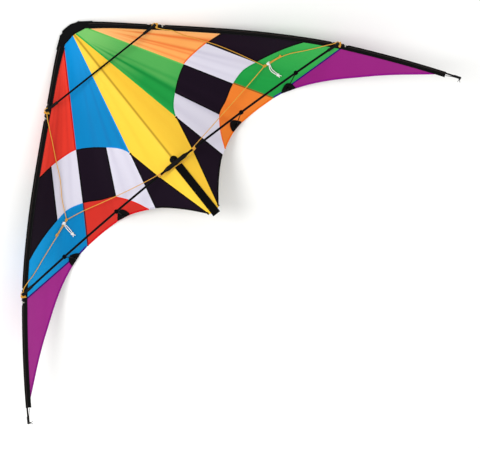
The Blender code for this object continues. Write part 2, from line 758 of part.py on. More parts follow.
def put_on_ground():
    """Tilts the frame so that the nose and the sail's edge touch the ground, centred on the origin."""
    FRAME.rotation_euler.x = -math.atan2(SAIL_DEPTH - NOSE_BACK, DEPTH_BACK)
    graph = bpy.context.evaluated_depsgraph_get()
    corners = []
    for part in KITE.objects:
        if part.type != "EMPTY":
            shown = part.evaluated_get(graph)
            mesh = shown.to_mesh()
            corners += [shown.matrix_world @ vertex.co for vertex in mesh.vertices]
            shown.to_mesh_clear()
    lowest = [min(point[axis] for point in corners) for axis in range(3)]
    highest = [max(point[axis] for point in corners) for axis in range(3)]
    FRAME.location = (-(lowest[0] + highest[0]) / 2, -(lowest[1] + highest[1]) / 2, -lowest[2])


add_sail()
add_trim()
add_sleeves()
add_nose()
add_rods()
add_tee()
add_connectors()
add_nocks()
add_standoffs()
add_lines(BRIDLE, LINE, "gold")
add_lines(PIGTAILS, PIGTAIL, "line_white")
put_on_ground()
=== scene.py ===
"""The looks of a dual-line stunt kite: its cloth, seams, fittings and lines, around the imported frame.

Pieces are modelled on the kite's own plane, with x out from the spine, y back from the nose
counted downwards and z towards the flyer. Each is then put in place on the tilted frame.
"""

import math

import bpy
import numpy as np
from mathutils import Matrix, Vector, noise


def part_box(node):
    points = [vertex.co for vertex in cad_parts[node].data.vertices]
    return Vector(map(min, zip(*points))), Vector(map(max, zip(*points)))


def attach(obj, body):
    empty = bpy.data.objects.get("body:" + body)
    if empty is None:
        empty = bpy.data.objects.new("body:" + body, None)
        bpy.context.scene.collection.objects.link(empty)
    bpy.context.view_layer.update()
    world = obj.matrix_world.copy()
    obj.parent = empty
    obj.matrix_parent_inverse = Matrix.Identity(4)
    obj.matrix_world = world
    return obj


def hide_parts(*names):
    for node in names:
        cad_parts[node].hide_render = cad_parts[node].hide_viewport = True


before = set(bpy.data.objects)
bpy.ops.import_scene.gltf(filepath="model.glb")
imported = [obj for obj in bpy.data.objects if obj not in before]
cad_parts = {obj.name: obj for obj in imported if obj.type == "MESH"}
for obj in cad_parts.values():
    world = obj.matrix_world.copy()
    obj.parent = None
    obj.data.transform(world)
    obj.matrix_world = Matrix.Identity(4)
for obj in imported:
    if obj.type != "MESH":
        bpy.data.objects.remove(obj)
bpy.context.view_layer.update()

MM = 0.001

# The kite's plane leans back, and its upper spreader says where it is.
TILT = -math.atan2(0.1415, 0.620)
UPPER_SPREADER_AT = Vector((0.0, -0.1735, 0.0085))
TURN = Matrix.Rotation(TILT, 4, "X")
SPREADER_MIDDLE = sum(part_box("upper_spreader"), Vector()) / 2
PLACE = Matrix.Translation(SPREADER_MIDDLE - TURN @ UPPER_SPREADER_AT) @ TURN

# Plan of the frame, in metres: (out from the spine, back from the nose)
LEADING_EDGE = [
    (0.0550, 0.0146), (0.0774, 0.0320), (0.2098, 0.1467), (0.3299, 0.2519), (0.5235, 0.4316),
    (0.6660, 0.5820), (0.7875, 0.7341), (0.9258, 0.9279), (0.9539, 0.9706),
]
TEE_BACK = 0.585
SPREADER_LEVEL = 0.0085
SPINE_LEVEL = -0.0042
SPINE_TAIL = 0.800
LOWER_TIP = (0.6874, 0.613)
LOWER_BOW = 0.0065
ROD_INSET = 0.0045
SLEEVE_LENGTHS = {"nose": (0.0240, 0.1545), "middle": (0.194, 0.594), "tip": (0.639, 0.920)}
SIDES = {"R": 1, "L": -1}

# Sail
SAIL_DEPTH = 0.150
DEPTH_BACK = 0.620
DEPTH_GROWTH = 1.2
INNER_RIDGE = 0.37
OUTER_RIDGE = 0.70
RIDGE_ROUNDING = 0.10
SPINE_ROUNDING = 0.015
SAIL_EDGE_INSET = 0.015
CLOTH = 0.3 * MM
SEAM = 4.6 * MM
HEM = 5.5 * MM
SEAM_THICKNESS = 0.9 * MM

# Bridle routes: (out, back, level in front of the frame's plane)
LINE = 2.6 * MM
LINE_STEP = 5 * MM
BRIDLE = {
    "bridle_upper_L": [
        (-0.2405, 0.1808, 0.0085), (-0.2551, 0.2057, 0.0065), (-0.2605, 0.2165, 0.0045),
        (-0.2697, 0.2345, -0.0062), (-0.2823, 0.2612, -0.0188), (-0.3121, 0.3195, -0.0438),
        (-0.3441, 0.3850, -0.0684), (-0.3803, 0.4410, -0.0841), (-0.4064, 0.4937, -0.1014),
        (-0.411, 0.503, -0.1045), (-0.4185, 0.5053, -0.1029), (-0.4708, 0.5245, -0.087),
    ],
    "bridle_upper_R": [
        (0.2339, 0.1828, 0.0085), (0.2460, 0.1995, 0.0065), (0.2587, 0.2120, 0.0045),
        (0.2725, 0.2262, 0.0038), (0.2817, 0.2430, -0.0040), (0.2936, 0.2618, -0.0110),
        (0.3200, 0.2963, -0.0200), (0.3632, 0.3556, -0.0375), (0.4073, 0.4293, -0.0625),
        (0.4471, 0.5034, -0.0883), (0.4525, 0.5135, -0.0918), (0.4605, 0.5143, -0.0885),
        (0.5132, 0.5218, -0.0580),
    ],
    "bridle_lower_L": [
        (-0.413, 0.5062, -0.1053), (-0.4708, 0.5275, -0.0885), (-0.4813, 0.5313, -0.0841),
        (-0.5582, 0.5593, -0.0513), (-0.6239, 0.5839, -0.0148), (-0.6470, 0.5898, 0.0050),
        (-0.6586, 0.5933, 0.0070), (-0.6741, 0.5996, 0.0085), (-0.6800, 0.6045, 0.0090),
    ],
    "bridle_lower_R": [
        (0.4540, 0.5170, -0.0930), (0.5135, 0.5256, -0.0610), (0.5370, 0.5334, -0.0482),
        (0.5874, 0.5598, -0.0272), (0.6270, 0.5800, -0.0075), (0.6470, 0.5895, 0.0050),
        (0.6553, 0.5934, 0.0070), (0.6750, 0.6030, 0.0085), (0.6868, 0.6056, 0.0085),
    ],
    "bridle_inner_L": [
        (-0.4075, 0.5045, -0.1057), (-0.36, 0.5130, -0.1105), (-0.28, 0.5335, -0.097),
        (-0.20, 0.554, -0.067), (-0.12, 0.572, -0.023), (-0.0715, 0.5812, 0.0085),
    ],
    "bridle_inner_R": [
        (0.4490, 0.5150, -0.0943), (0.36, 0.532, -0.1075), (0.28, 0.546, -0.096),
        (0.20, 0.56, -0.068), (0.12, 0.574, -0.023), (0.0784, 0.5812, 0.0085),
    ],
    "bridle_centre": [
        (-0.0715, 0.5899, 0.0085), (-0.060, 0.5905, 0.008), (-0.043, 0.5930, 0.0065),
        (-0.0175, 0.5945, 0.006), (0.003, 0.5958, 0.0055), (0.0265, 0.5992, 0.0055),
        (0.043, 0.5992, 0.006), (0.0573, 0.5965, 0.0075), (0.069, 0.5925, 0.0085),
        (0.0784, 0.5901, 0.0085),
    ],
}
TOW_LINE = 3.2 * MM
TOW_LOOPS = {
    "L": [(-0.4270, 0.5127, -0.1021), (-0.4258, 0.5340, -0.1155), (-0.4250, 0.5545, -0.1225)],
    "R": [(0.4685, 0.5204, -0.0864), (0.4640, 0.5385, -0.1000), (0.4725, 0.5680, -0.1130)],
}

# Where the middle of the picture falls on the kite's plane, and how the camera looks at it
VIEW_MIDDLE = Vector((0.0390, -0.8872, 0.0))
VIEW_DISTANCE = 11.395
VIEW_YAW = math.radians(-3.714)
VIEW_PITCH = math.radians(-0.743)
VIEW_ROLL = math.radians(-38.58)
VIEW_LENS = 250.2


# Curves and heights


def smooth(points, step):
    """Points about one step apart on a smooth curve through the given ones."""
    knots = np.array(points, float)
    gaps = np.linalg.norm(np.diff(knots, axis=0), axis=1)[:, None]
    ways = np.diff(knots, axis=0) / gaps
    between = (ways[:-1] * gaps[1:] + ways[1:] * gaps[:-1]) / (gaps[1:] + gaps[:-1])
    heading = np.vstack([ways[0], between, ways[-1]])
    found = []
    for i, gap in enumerate(gaps[:, 0]):
        count = max(1, round(gap / step))
        for t in np.arange(count) / count:
            ends = knots[i] * (2 * t**3 - 3 * t**2 + 1) + knots[i + 1] * (3 * t**2 - 2 * t**3)
            bend = heading[i] * (t**3 - 2 * t**2 + t) + heading[i + 1] * (t**3 - t**2)
            found.append(ends + gap * bend)
    return np.array([*found, knots[-1]])


def distances_along(line):
    return np.concatenate([[0], np.cumsum(np.linalg.norm(np.diff(line, axis=0), axis=1))])


def read_along(line, values, share):
    """Values that go with a line's points, at these shares of its length."""
    along = distances_along(line)
    return np.stack([np.interp(share * along[-1], along, column) for column in values.T], axis=-1)


def evenly(line, share):
    """The points at these shares of a line's length."""
    return read_along(line, line, share)


def sides_of(line):
    """The direction to the left of a line on the plan, at each of its points."""
    heading = np.gradient(line, axis=0)
    left = np.stack([-heading[:, 1], heading[:, 0]], axis=1)
    return left / np.linalg.norm(left, axis=1)[:, None]


def moved_inwards(line, distance):
    """The line of a right-hand edge, shifted towards the spine."""
    return line + distance * sides_of(line)


def ramp(value, full, none):
    """1 where the value reaches full, 0 where it reaches none, and even in between."""
    return np.clip((value - none) / (full - none), 0, 1)


def wobble(first, second, seed):
    """Smooth random numbers from about -1 to 1, for arrays of two coordinates."""
    return np.array([noise.noise(Vector((a, b, seed))) for a, b in zip(first, second)])


EDGE_LINE = smooth(LEADING_EDGE, 0.01)
ROD_LINE = moved_inwards(EDGE_LINE, ROD_INSET)
SAIL_LINE = moved_inwards(EDGE_LINE, SAIL_EDGE_INSET)


def out_at(line, back):
    return np.interp(back, line[:, 1], line[:, 0])


def stretch(line, start, end, step):
    """The part of a leading-edge line between two distances back from the nose."""
    back = np.linspace(start, end, max(2, round((end - start) / step)))
    return np.stack([out_at(line, back), back], axis=1)


def billow(out, back, edge):
    """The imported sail's height over the frame's plane, as its stretched form goes behind it."""
    rounded = np.hypot(out, SPINE_ROUNDING) - SPINE_ROUNDING
    share = np.minimum(rounded / edge, 1.0)
    slopes = [share / INNER_RIDGE, np.ones_like(share), (1.0 - share) / (1.0 - OUTER_RIDGE)]
    taut = -RIDGE_ROUNDING * np.log(sum(np.exp(-slope / RIDGE_ROUNDING) for slope in slopes))
    return -SAIL_DEPTH * (np.maximum(back, 0) / DEPTH_BACK) ** DEPTH_GROWTH * np.maximum(taut, 0)


# The cloth is flat where it is tucked into the sleeve, and eases into its form from there.
SLEEVE_TUCK = 4 * MM
SLEEVE_EASE = 0.10


def drape(out, back):
    """The sail's height over the frame's plane, for arrays of places on it. Behind it is below 0."""
    edge = out_at(SAIL_LINE, back)
    held = edge - SLEEVE_TUCK
    free = np.minimum(out, held)
    near_sleeve = ramp(held - free, 0, SLEEVE_EASE) ** 2
    return billow(free, back, edge) - billow(held, back, edge) * near_sleeve


def lower_spreader_back(out):
    share = abs(out) / LOWER_TIP[0]
    return TEE_BACK + (LOWER_TIP[1] - TEE_BACK) * share - 4 * LOWER_BOW * share * (1 - share)


# Folds that fan out from where the cloth is held at the nose: degrees from the spine, width in
# degrees, depth in millimetres. Those of the leading panel start at its own corner.
FAN_CORNER = (0.055, 0.0345)
EDGE_FOLDS = {
    "R": [(45.1, 1.0, 0.85), (39.4, 0.9, 0.8), (37.3, 0.7, 0.6), (47.8, 0.6, 0.3), (33.4, 0.8, 0.5)],
    "L": [(42.6, 1.1, 0.45), (35.3, 0.9, 0.4), (45.8, 0.8, 0.35), (39.3, 0.7, 0.25)],
}
NOSE_CORNER = (0.0015, 0.028)
NOSE_FOLDS = {
    "R": [(23.0, 1.3, 1.0), (16.8, 1.6, 0.45), (28.5, 1.2, 0.35), (8.0, 1.0, 0.2)],
    "L": [(15.0, 1.1, 0.35), (20.3, 1.0, 0.5), (27.6, 1.2, 0.3), (7.2, 0.9, 0.2)],
}


# Distances from their corner where folds are full grown, begin to fade and are gone
FOLDS_GROWN, FOLDS_FADE, FOLDS_GONE = 0.16, 0.40, 0.75
# The cloth eases into its folds over these distances from the sleeve and from the spine, and is
# free behind the first distance back from the nose, flat ahead of the second.
HELD_BY_SLEEVE, HELD_BY_SPINE, HELD_BY_NOSE = 9 * MM, 30 * MM, (0.11, 0.03)
# Low folds at random: waves per degree round the nose and per metre away from it, seed, depth in
# millimetres
RIPPLES = [(0.55, 2.5, 0.0, 0.45), (1.3, 5.0, 5.0, 0.18)]
RIPPLE_SEEDS = {"R": 3.0, "L": 11.0}


def fan(out, back, corner, folds):
    """Depth of a fan of folds at these places, in millimetres."""
    reach = np.hypot(out - corner[0], back - corner[1])
    angle = np.degrees(np.arctan2(out - corner[0], np.maximum(back - corner[1], 1e-6)))
    strength = ramp(reach, FOLDS_GROWN, 0) * ramp(reach, FOLDS_FADE, FOLDS_GONE)
    return strength * sum(depth * np.exp(-(((angle - at) / width) ** 2)) for at, width, depth in folds)


def ripples(out, back, letter):
    angle = np.degrees(np.arctan2(out, np.maximum(back, 1e-6)))
    reach = np.hypot(out, back)
    waves = [
        depth * wobble(angle * turn, reach * away, RIPPLE_SEEDS[letter] + seed)
        for turn, away, seed, depth in RIPPLES
    ]
    return sum(waves)


def fold_depth(out, back, letter):
    """Depth of the fans and of the low folds, dying out where the cloth is held."""
    depth = fan(out, back, FAN_CORNER, EDGE_FOLDS[letter]) * (out - FAN_CORNER[0] > 0)
    depth += fan(out, back, NOSE_CORNER, NOSE_FOLDS[letter])
    free = ramp(out_at(SAIL_LINE, back) - out, HELD_BY_SLEEVE, 0)
    free *= ramp(out, HELD_BY_SPINE, 0) * ramp(back, *HELD_BY_NOSE)
    return depth * free, ripples(out, back, letter) * free


# Modelling


def linked(name, data):
    """A new object in the scene that holds this data."""
    made = bpy.data.objects.new(name, data)
    bpy.context.scene.collection.objects.link(made)
    return made


def only(piece):
    """Makes this the one selected object, so that an operator acts on nothing else."""
    bpy.ops.object.select_all(action="DESELECT")
    piece.select_set(True)
    bpy.context.view_layer.objects.active = piece


def edit(piece):
    only(piece)
    bpy.ops.object.mode_set(mode="EDIT")
    bpy.ops.mesh.select_all(action="SELECT")


def done():
    bpy.ops.object.mode_set(mode="OBJECT")


def added(name):
    """The object that was just added, under its own name."""
    piece = bpy.context.object
    piece.name = name
    piece.data.name = name
    bpy.ops.object.transform_apply(location=True, rotation=True, scale=True)
    return piece


def modify(piece, kind, **settings):
    only(piece)
    step = piece.modifiers.new(kind.lower(), kind)
    for key, value in settings.items():
        setattr(step, key, value)
    bpy.ops.object.modifier_apply(modifier=step.name)


# Points nearer than this are one. On the flat cuts they lie a cloth's thickness apart.
WELD, PLAN_WELD = 0.01 * MM, 0.6 * MM


def joined(name, pieces):
    """Several pieces made one, under the first one's materials."""
    bpy.ops.object.select_all(action="DESELECT")
    for piece in pieces:
        piece.select_set(True)
    bpy.context.view_layer.objects.active = pieces[0]
    bpy.ops.object.join()
    piece = bpy.context.object
    piece.name = name
    return piece


def twin(piece, name):
    """The same shape on the other wing, with a mesh of its own."""
    copy = linked(name, piece.data.copy())
    copy.data.transform(Matrix.Diagonal((-1, 1, 1, 1)))
    edit(copy)
    bpy.ops.mesh.flip_normals()
    done()
    return copy


def places_of(piece):
    flat = np.empty(len(piece.data.vertices) * 3, np.float32)
    piece.data.vertices.foreach_get("co", flat)
    return flat.reshape(-1, 3).astype(float)


def move_to(piece, places):
    piece.data.vertices.foreach_set("co", np.asarray(places, np.float32).ravel())
    piece.data.update()


def finish(piece, material, replaces=(), body="frame", angle=35):
    """Shades a piece, gives it its material and puts it in place on its body."""
    only(piece)
    bpy.ops.object.shade_smooth_by_angle(angle=math.radians(angle))
    piece.data.materials.clear()
    piece.data.materials.append(material)
    piece.data.transform(PLACE)
    piece.data.update()
    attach(piece, body)
    if replaces:
        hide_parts(*replaces)
    return piece


def both_wings(piece, name, material, replaced, angle=35):
    """Finishes the piece on the right wing, and its mirror image on the left one."""
    other = twin(piece, name + "_L")
    piece.name = name + "_R"
    for letter, made in (("R", piece), ("L", other)):
        finish(made, material, [f"{part}_{letter}" for part in replaced], angle=angle)


def laid(name, along, across, shape, size, thickness=None):
    """A grid of faces bent to a shape(s, t) of two shares from 0 to 1, with a map in metres."""
    bpy.ops.mesh.primitive_grid_add(x_subdivisions=along, y_subdivisions=across, size=1, calc_uvs=True)
    piece = added(name)
    flat = places_of(piece)
    move_to(piece, shape(flat[:, 0] + 0.5, flat[:, 1] + 0.5))
    layer = piece.data.uv_layers[0].data
    shares = np.empty(len(layer) * 2, np.float32)
    layer.foreach_get("uv", shares)
    layer.foreach_set("uv", (shares.reshape(-1, 2) * size).astype(np.float32).ravel())
    if thickness:
        thickened(piece, thickness)
    return piece


def closed_up(piece):
    """Welds a rolled grid along its seam and fills its open ends."""
    edit(piece)
    bpy.ops.mesh.remove_doubles(threshold=WELD)
    bpy.ops.mesh.fill_holes(sides=0)
    bpy.ops.mesh.normals_make_consistent(inside=False)
    done()


def frames_along(line, share):
    """Places on a line in space, with two directions across it that don't twist."""
    places = evenly(line, share)
    ahead = evenly(line, np.minimum(share + 0.002, 1)) - evenly(line, np.maximum(share - 0.002, 0))
    ahead /= np.linalg.norm(ahead, axis=1)[:, None]
    side = np.zeros_like(ahead)
    first = Vector(ahead[0]).orthogonal().normalized()
    for i, way in enumerate(ahead):
        first = (first - Vector(way) * first.dot(Vector(way))).normalized()
        side[i] = first
    return places, side, np.cross(ahead, side)


def tube(name, line, radius, around=10, step=None, swell=None):
    """A closed round tube along a line in space. swell(share of length) multiplies its radius."""
    line = np.asarray(line, float)
    length = distances_along(line)[-1]
    along = max(2, round(length / (step or 2.5 * radius)))
    stops = np.linspace(0, 1, along + 1)
    places, side, other = frames_along(line, stops)

    def shape(s, t):
        at = np.rint(s * along).astype(int)
        turn = 2 * np.pi * t
        size = radius * (swell(s) if swell else 1)
        spread = np.cos(turn)[:, None] * side[at] + np.sin(turn)[:, None] * other[at]
        return places[at] + spread * np.reshape(size, (-1, 1))

    piece = laid(name, along, around, shape, (length, 2 * np.pi * radius))
    closed_up(piece)
    return piece


def turned(name, start, end, profile, segments=24):
    """A fitting turned on an axis. The profile is (share of the way, radius in millimetres)."""
    start, end = Vector(start), Vector(end)
    length = (end - start).length
    (at, radius), *others = [(at, size * MM) for at, size in profile]
    bpy.ops.mesh.primitive_circle_add(
        vertices=segments, radius=radius, fill_type="NGON", location=(0, 0, at * length)
    )
    piece = added(name)
    edit(piece)
    for next_at, next_radius in others:
        step = (0, 0, (next_at - at) * length)
        bpy.ops.mesh.extrude_region_move(TRANSFORM_OT_translate={"value": step})
        grow = next_radius / radius
        bpy.ops.transform.resize(value=(grow, grow, 1))
        at, radius = next_at, next_radius
    bpy.ops.mesh.select_all(action="SELECT")
    bpy.ops.mesh.normals_make_consistent(inside=False)
    done()
    lean = (end - start).to_track_quat("Z", "Y").to_matrix().to_4x4()
    piece.data.transform(Matrix.Translation(start) @ lean)
    return piece


def both_ends(half):
    """A profile from its first half."""
    return [*half, *[(1 - at, size) for at, size in reversed(half)]]


# Materials


def colour(code):
    """Linear colour of an sRGB hex value."""
    parts = [int(code[i : i + 2], 16) / 255 for i in (1, 3, 5)]
    return (*[p / 12.92 if p <= 0.04045 else ((p + 0.055) / 1.055) ** 2.4 for p in parts], 1.0)


class Wire:
    """A node's output, for sums with other outputs and with numbers."""

    def __init__(self, look, socket):
        self.look = look
        self.socket = socket

    def __add__(self, other):
        return self.look.maths("ADD", self, other)

    def __sub__(self, other):
        return self.look.maths("SUBTRACT", self, other)

    def __rsub__(self, other):
        return self.look.maths("SUBTRACT", other, self)

    def __mul__(self, other):
        return self.look.maths("MULTIPLY", self, other)

    def __lt__(self, other):
        return self.look.maths("LESS_THAN", self, other)

    def __abs__(self):
        return self.look.maths("ABSOLUTE", self)


class Look:
    """A material with an empty node tree, and the steps that fill it."""

    def __init__(self, name):
        self.material = bpy.data.materials.new(name)
        self.material.use_nodes = True
        self.tree = self.material.node_tree
        self.tree.nodes.clear()

    def node(self, kind, settings=None, output=0, **inputs):
        """A new node's output. Inputs are sockets by name, or by number after an i."""
        made = self.tree.nodes.new("ShaderNode" + kind)
        for key, value in (settings or {}).items():
            setattr(made, key, value)
        for key, value in inputs.items():
            numbered = key[0] == "i" and key[1:].isdigit()
            socket = made.inputs[int(key[1:]) if numbered else key.replace("_", " ")]
            if isinstance(value, Wire):
                self.tree.links.new(value.socket, socket)
            else:
                socket.default_value = value
        return Wire(self, made.outputs[output]) if made.outputs else None

    def maths(self, operation, *values):
        inputs = {f"i{i}": value for i, value in enumerate(values)}
        return self.node("Math", {"operation": operation}, **inputs)

    def laid_map(self, name="UVMap"):
        """A map of the piece, and its two coordinates in metres."""
        place = self.node("UVMap", {"uv_map": name})
        return place, *[self.node("SeparateXYZ", output=k, i0=place) for k in (0, 1)]

    def share(self, name):
        """A share from 0 to 1 that is held by the piece's points."""
        return self.node("Attribute", {"attribute_name": name}, output="Fac")

    def cloud(self, place, scale, detail):
        return self.node("TexNoise", Vector=place, Scale=scale, Detail=detail)

    def wave(self, across, pitch):
        return self.maths("SINE", across * (2 * math.pi / pitch))

    def threads(self, across, pitch, width):
        """1 on lines that repeat every pitch along a coordinate in metres, and 0 between them."""
        return self.maths("FRACT", across * (1 / pitch)) < width / pitch

    def tinted(self, shade, share, tint, most=None):
        """The shade with the tint mixed in by this share, of at most so much."""
        share = share * most if most else share
        return self.node("Mix", {"data_type": "RGBA"}, output=2, i0=share, i6=shade, i7=tint)

    def bump(self, height, strength, depth):
        return self.node("Bump", Strength=strength, Distance=depth, Height=height)

    def skin(self, shade, rough, gloss, **others):
        return self.node(
            "BsdfPrincipled", Base_Color=shade, Roughness=rough, Specular_IOR_Level=gloss, **others
        )

    def finished(self, surface):
        self.node("OutputMaterial", Surface=surface)
        return self.material


# Ripstop nylon: a plain-woven coated sailcloth with a heavier thread every 5 mm both ways, which
# shows as a fine grid. Light comes through it, so doubled cloth looks deeper in colour; its folds
# are given painted shade.
RIPSTOP_PITCH = 5 * MM
RIPSTOP_THREAD = 0.7 * MM
# The plain weave is 0.15 mm in truth, drawn as coarse as a close view can show.
WEAVE_PITCH = 0.9 * MM
LIGHT_THROUGH = 0.12


def ripstop(name, base, deep, pale=None, line=None, gloss=0.15):
    look = Look("ripstop_nylon_" + name)
    place, x, y = look.laid_map("cloth")
    both_ways = [look.threads(part, RIPSTOP_PITCH, RIPSTOP_THREAD) for part in (x, y)]
    grid = look.maths("MAXIMUM", *both_ways)
    shade = colour(base)
    # Shares held by the panels: painted shade in folds (fold), painted light (pale), the spine rod's
    # painted shadow (spine).
    for share, tint in (("fold", deep), ("pale", pale), ("spine", line)):
        if tint:
            shade = look.tinted(shade, look.share(share), colour(tint))
    cloud = look.cloud(place, scale=14.0, detail=3.0)
    shade = look.tinted(shade, cloud, colour(deep), most=0.16)
    shade = look.tinted(shade, grid, colour(deep), most=0.10)
    weave = look.wave(x, WEAVE_PITCH) * look.wave(y, WEAVE_PITCH)
    bump = look.bump(grid * 0.6 + weave * 0.15, strength=0.25, depth=0.12 * MM)
    rough = cloud * 0.12 + 0.40
    sheen = {"Sheen_Weight": gloss / 5, "Sheen_Roughness": 0.4}
    cloth = look.skin(shade, rough, gloss, Normal=bump, **sheen)
    glow = look.node("BsdfTranslucent", Color=shade, Normal=bump)
    return look.finished(look.node("MixShader", i0=LIGHT_THROUGH, i1=cloth, i2=glow))


# Per cloth: base colour; deep, its deeper tone and its painted shade in folds; pale, its painted light;
# line, the spine rod's painted shadow.
SAIL = {
    "yellow": {"base": "#FCD43E", "deep": "#EFB42C", "line": "#A07C14"},
    "blue": {"base": "#0084C2", "deep": "#1470AE", "pale": "#0090D6", "gloss": 0.08},
    "green": {"base": "#1E9F45", "deep": "#108A38", "pale": "#7FC86C", "gloss": 0.1},
    "red": {"base": "#E73726", "deep": "#B8241C", "pale": "#FD4230"},
    "blue_low": {"base": "#0084C2", "deep": "#1470AE", "pale": "#00ACF2", "gloss": 0.08},
    "green_low": {"base": "#1E9F45", "deep": "#108A38", "pale": "#40BA56", "gloss": 0.1},
    "red_low": {"base": "#D83024", "deep": "#B0201A"},
    "orange": {"base": "#F1832C", "deep": "#D9601C"},
    "orange_pale": {"base": "#FDB461", "deep": "#E65A1A", "pale": "#FCC47E"},
    "white": {"base": "#DFDCE9", "deep": "#C2BED0"},
    "black": {"base": "#170C1A", "deep": "#1E1120", "gloss": 0.05},
    "purple": {"base": "#AA2A90", "deep": "#8C1674", "gloss": 0.1},
    "purple_deep": {"base": "#9A1C80", "deep": "#80126A", "gloss": 0.1},
}
CLOTHS = {name: ripstop(name, **look) for name, look in SAIL.items()}


# Two layers of that cloth, felled together and sewn with two rows of stitches 2.5 mm long.
STITCH = 2.5 * MM
STITCH_GAP = 0.6 * MM
STITCH_WIDTH = 0.45 * MM


def doubled(name, code, thread, width, rows, crown_highlight=None):
    """Sewn cloth with rows of stitches at shares of its width, and optionally a painted highlight: a
    paler line along it.
    """
    look = Look("felled_nylon_seam_" + name)
    place, x, y = look.laid_map()
    pulled = 0.0
    for row in rows:
        pulled = look.maths("MAXIMUM", pulled, abs(y - row * width) < STITCH_WIDTH / 2)
    stitches = (1.0 - look.threads(x, STITCH, STITCH_GAP)) * pulled
    cloud = look.cloud(place, scale=60.0, detail=2.0)
    base = colour(code)
    lighter = (*[min(1.0, part * 1.3 + 0.002) for part in base[:3]], 1.0)
    shade = look.tinted(base, cloud, lighter, most=0.35)
    shade = look.tinted(shade, stitches, colour(thread))
    # Painted highlight: a paler line along the crown, where the rod lifts the cloth.
    if crown_highlight:
        share, reach, paler = crown_highlight
        highlight_band = (abs(y - share * width) < reach) * (cloud + 0.3)
        shade = look.tinted(shade, highlight_band, colour(paler))
    bump = look.bump(stitches * 1.2 - pulled * 0.8, strength=0.6, depth=0.25 * MM)
    return look.finished(look.skin(shade, rough=0.5, gloss=0.05, Normal=bump))


def woven(name, code, streak, pitch, rough, depth=0.3 * MM):
    """Heavy woven tape: ribs along it every pitch and a finer pick across it."""
    look = Look(name)
    place, x, y = look.laid_map()
    weave = look.wave(y, pitch) * look.wave(x, pitch * 0.8)
    fuzz = look.cloud(place, scale=900.0, detail=3.0)
    shade = look.tinted(colour(code), (weave + 1.0) * fuzz, colour(streak), most=0.35)
    bump = look.bump(weave, strength=0.7, depth=depth)
    return look.finished(look.skin(shade, rough, gloss=0.08, Normal=bump, Sheen_Weight=0.01))


def braided(name, code, dark, pitch, turns=6):
    """Braided line: strands cross both ways round it, so its skin is a fine diamond pattern."""
    look = Look(name)
    x, y = look.laid_map()[1:]
    along, around = x * (2 * math.pi / pitch), y * turns
    strands = look.maths("SINE", along + around) * look.maths("SINE", along - around)
    shade = look.tinted(colour(code), 1.0 - strands, colour(dark), most=0.3)
    bump = look.bump(strands, strength=0.8, depth=0.2 * MM)
    return look.finished(look.skin(shade, rough=0.55, gloss=0.5, Normal=bump, Sheen_Weight=0.2))


def moulded(name, code, wear, rough, gloss=0.10):
    """Moulded plastic: an even, finely grained skin that is a little paler where it rubs."""
    look = Look(name)
    place = look.node("TexCoord", output="Object")
    grain = look.cloud(place, scale=2600.0, detail=2.0)
    patch = look.cloud(place, scale=70.0, detail=3.0)
    shade = look.tinted(colour(code), patch, colour(wear), most=0.35)
    bump = look.bump(grain, strength=0.25, depth=0.08 * MM)
    return look.finished(look.skin(shade, patch * 0.15 + (rough - 0.07), gloss, Normal=bump))


def wrapped_tube(name, gloss=0.05, coat=0.02):
    """Wrapped carbon tube: a gloss epoxy skin over a faint band of wrap every 9 mm."""
    look = Look(name)
    place, x, y = look.laid_map()
    band = look.wave(x + y * 0.5, 9 * MM)
    fibre = look.cloud(place, scale=1400.0, detail=2.0)
    shade = look.tinted(colour("#030304"), (band + 1.0) * fibre, colour("#0A0B0C"), most=0.4)
    bump = look.bump(band, strength=0.15, depth=0.05 * MM)
    clear = {"Coat_Weight": coat, "Coat_Roughness": 0.12}
    return look.finished(look.skin(shade, rough=0.34, gloss=gloss, Normal=bump, **clear))


def plain_floor(name):
    look = Look(name)
    cloud = look.cloud(look.node("TexCoord", output="Object"), scale=1.5, detail=2.0)
    shade = look.tinted(colour("#F6F6F4"), cloud, colour("#F2F2F0"), most=0.25)
    return look.finished(look.skin(shade, rough=0.9, gloss=0.1))


WEBBING = woven("nylon_webbing_woven", "#040404", "#141415", 1.6 * MM, 0.6, 0.5 * MM)
PATCH_TAPE = woven("polyester_patch_tape_woven", "#040404", "#101011", 1.0 * MM, 0.6)
LOOP_TAPE = woven("nylon_loop_tape_brushed", "#030303", "#0E0E10", 1.3 * MM, 0.85, 0.6 * MM)
GOLD_LINE = braided("braided_polyester_line_gold", "#E2A31C", "#A0680C", 2.4 * MM)
WHITE_LINE = braided("braided_polyester_line_white", "#F7F6F2", "#BDBBB4", 2.2 * MM)
SHOCK_CORD = braided("elastic_cord_braided_cover", "#101011", "#050505", 2.0 * MM)
CARBON = wrapped_tube("carbon_tube_wrapped")
# The standoffs' thin rods are seen nearly end on, where any gloss would turn them grey.
STEM = wrapped_tube("carbon_rod_matt", gloss=0.004, coat=0.0)
VINYL = moulded("vinyl_dip_moulded", "#050506", "#111113", 0.48)
RUBBER = moulded("rubber_dip_matt", "#050506", "#0C0C0D", 0.60, gloss=0.02)
NYLON = moulded("nylon_fitting_moulded", "#050506", "#131315", 0.40)
CLIP = moulded("pale_vinyl_clip_moulded", "#A9A79C", "#8C8A80", 0.50)


# Sail panels

PANELS = {
    "centre": ("yellow", "yellow"),
    "upper": ("green", "blue"),
    "leading": ("orange_pale", "red"),
    "check_1": ("black", "black"),
    "check_2": ("white", "white"),
    "check_3": ("black", "black"),
    "check_4": ("white", "white"),
    "check_5": ("black", "black"),
    "lower_inner": ("orange", "red_low"),
    "lower_outer": ("green_low", "blue_low"),
    "tip": ("purple_deep", "purple"),
}
FINE_PANELS = ("leading", "upper")
# How far in from the leading edge a panel has painted light, paler as if lit from behind
EDGE_PAINTED_LIGHT = {"lower_outer": 0.19, "leading": 0.05}
CELL = 12 * MM


def panel_colour(panel, letter):
    return PANELS[panel][0 if letter == "R" else 1]


def panel_hue(panel, letter):
    return panel_colour(panel, letter).split("_")[0]


# A packed panel's faces that look at the flyer have normals with at least this height.
FACE_UP = 0.3


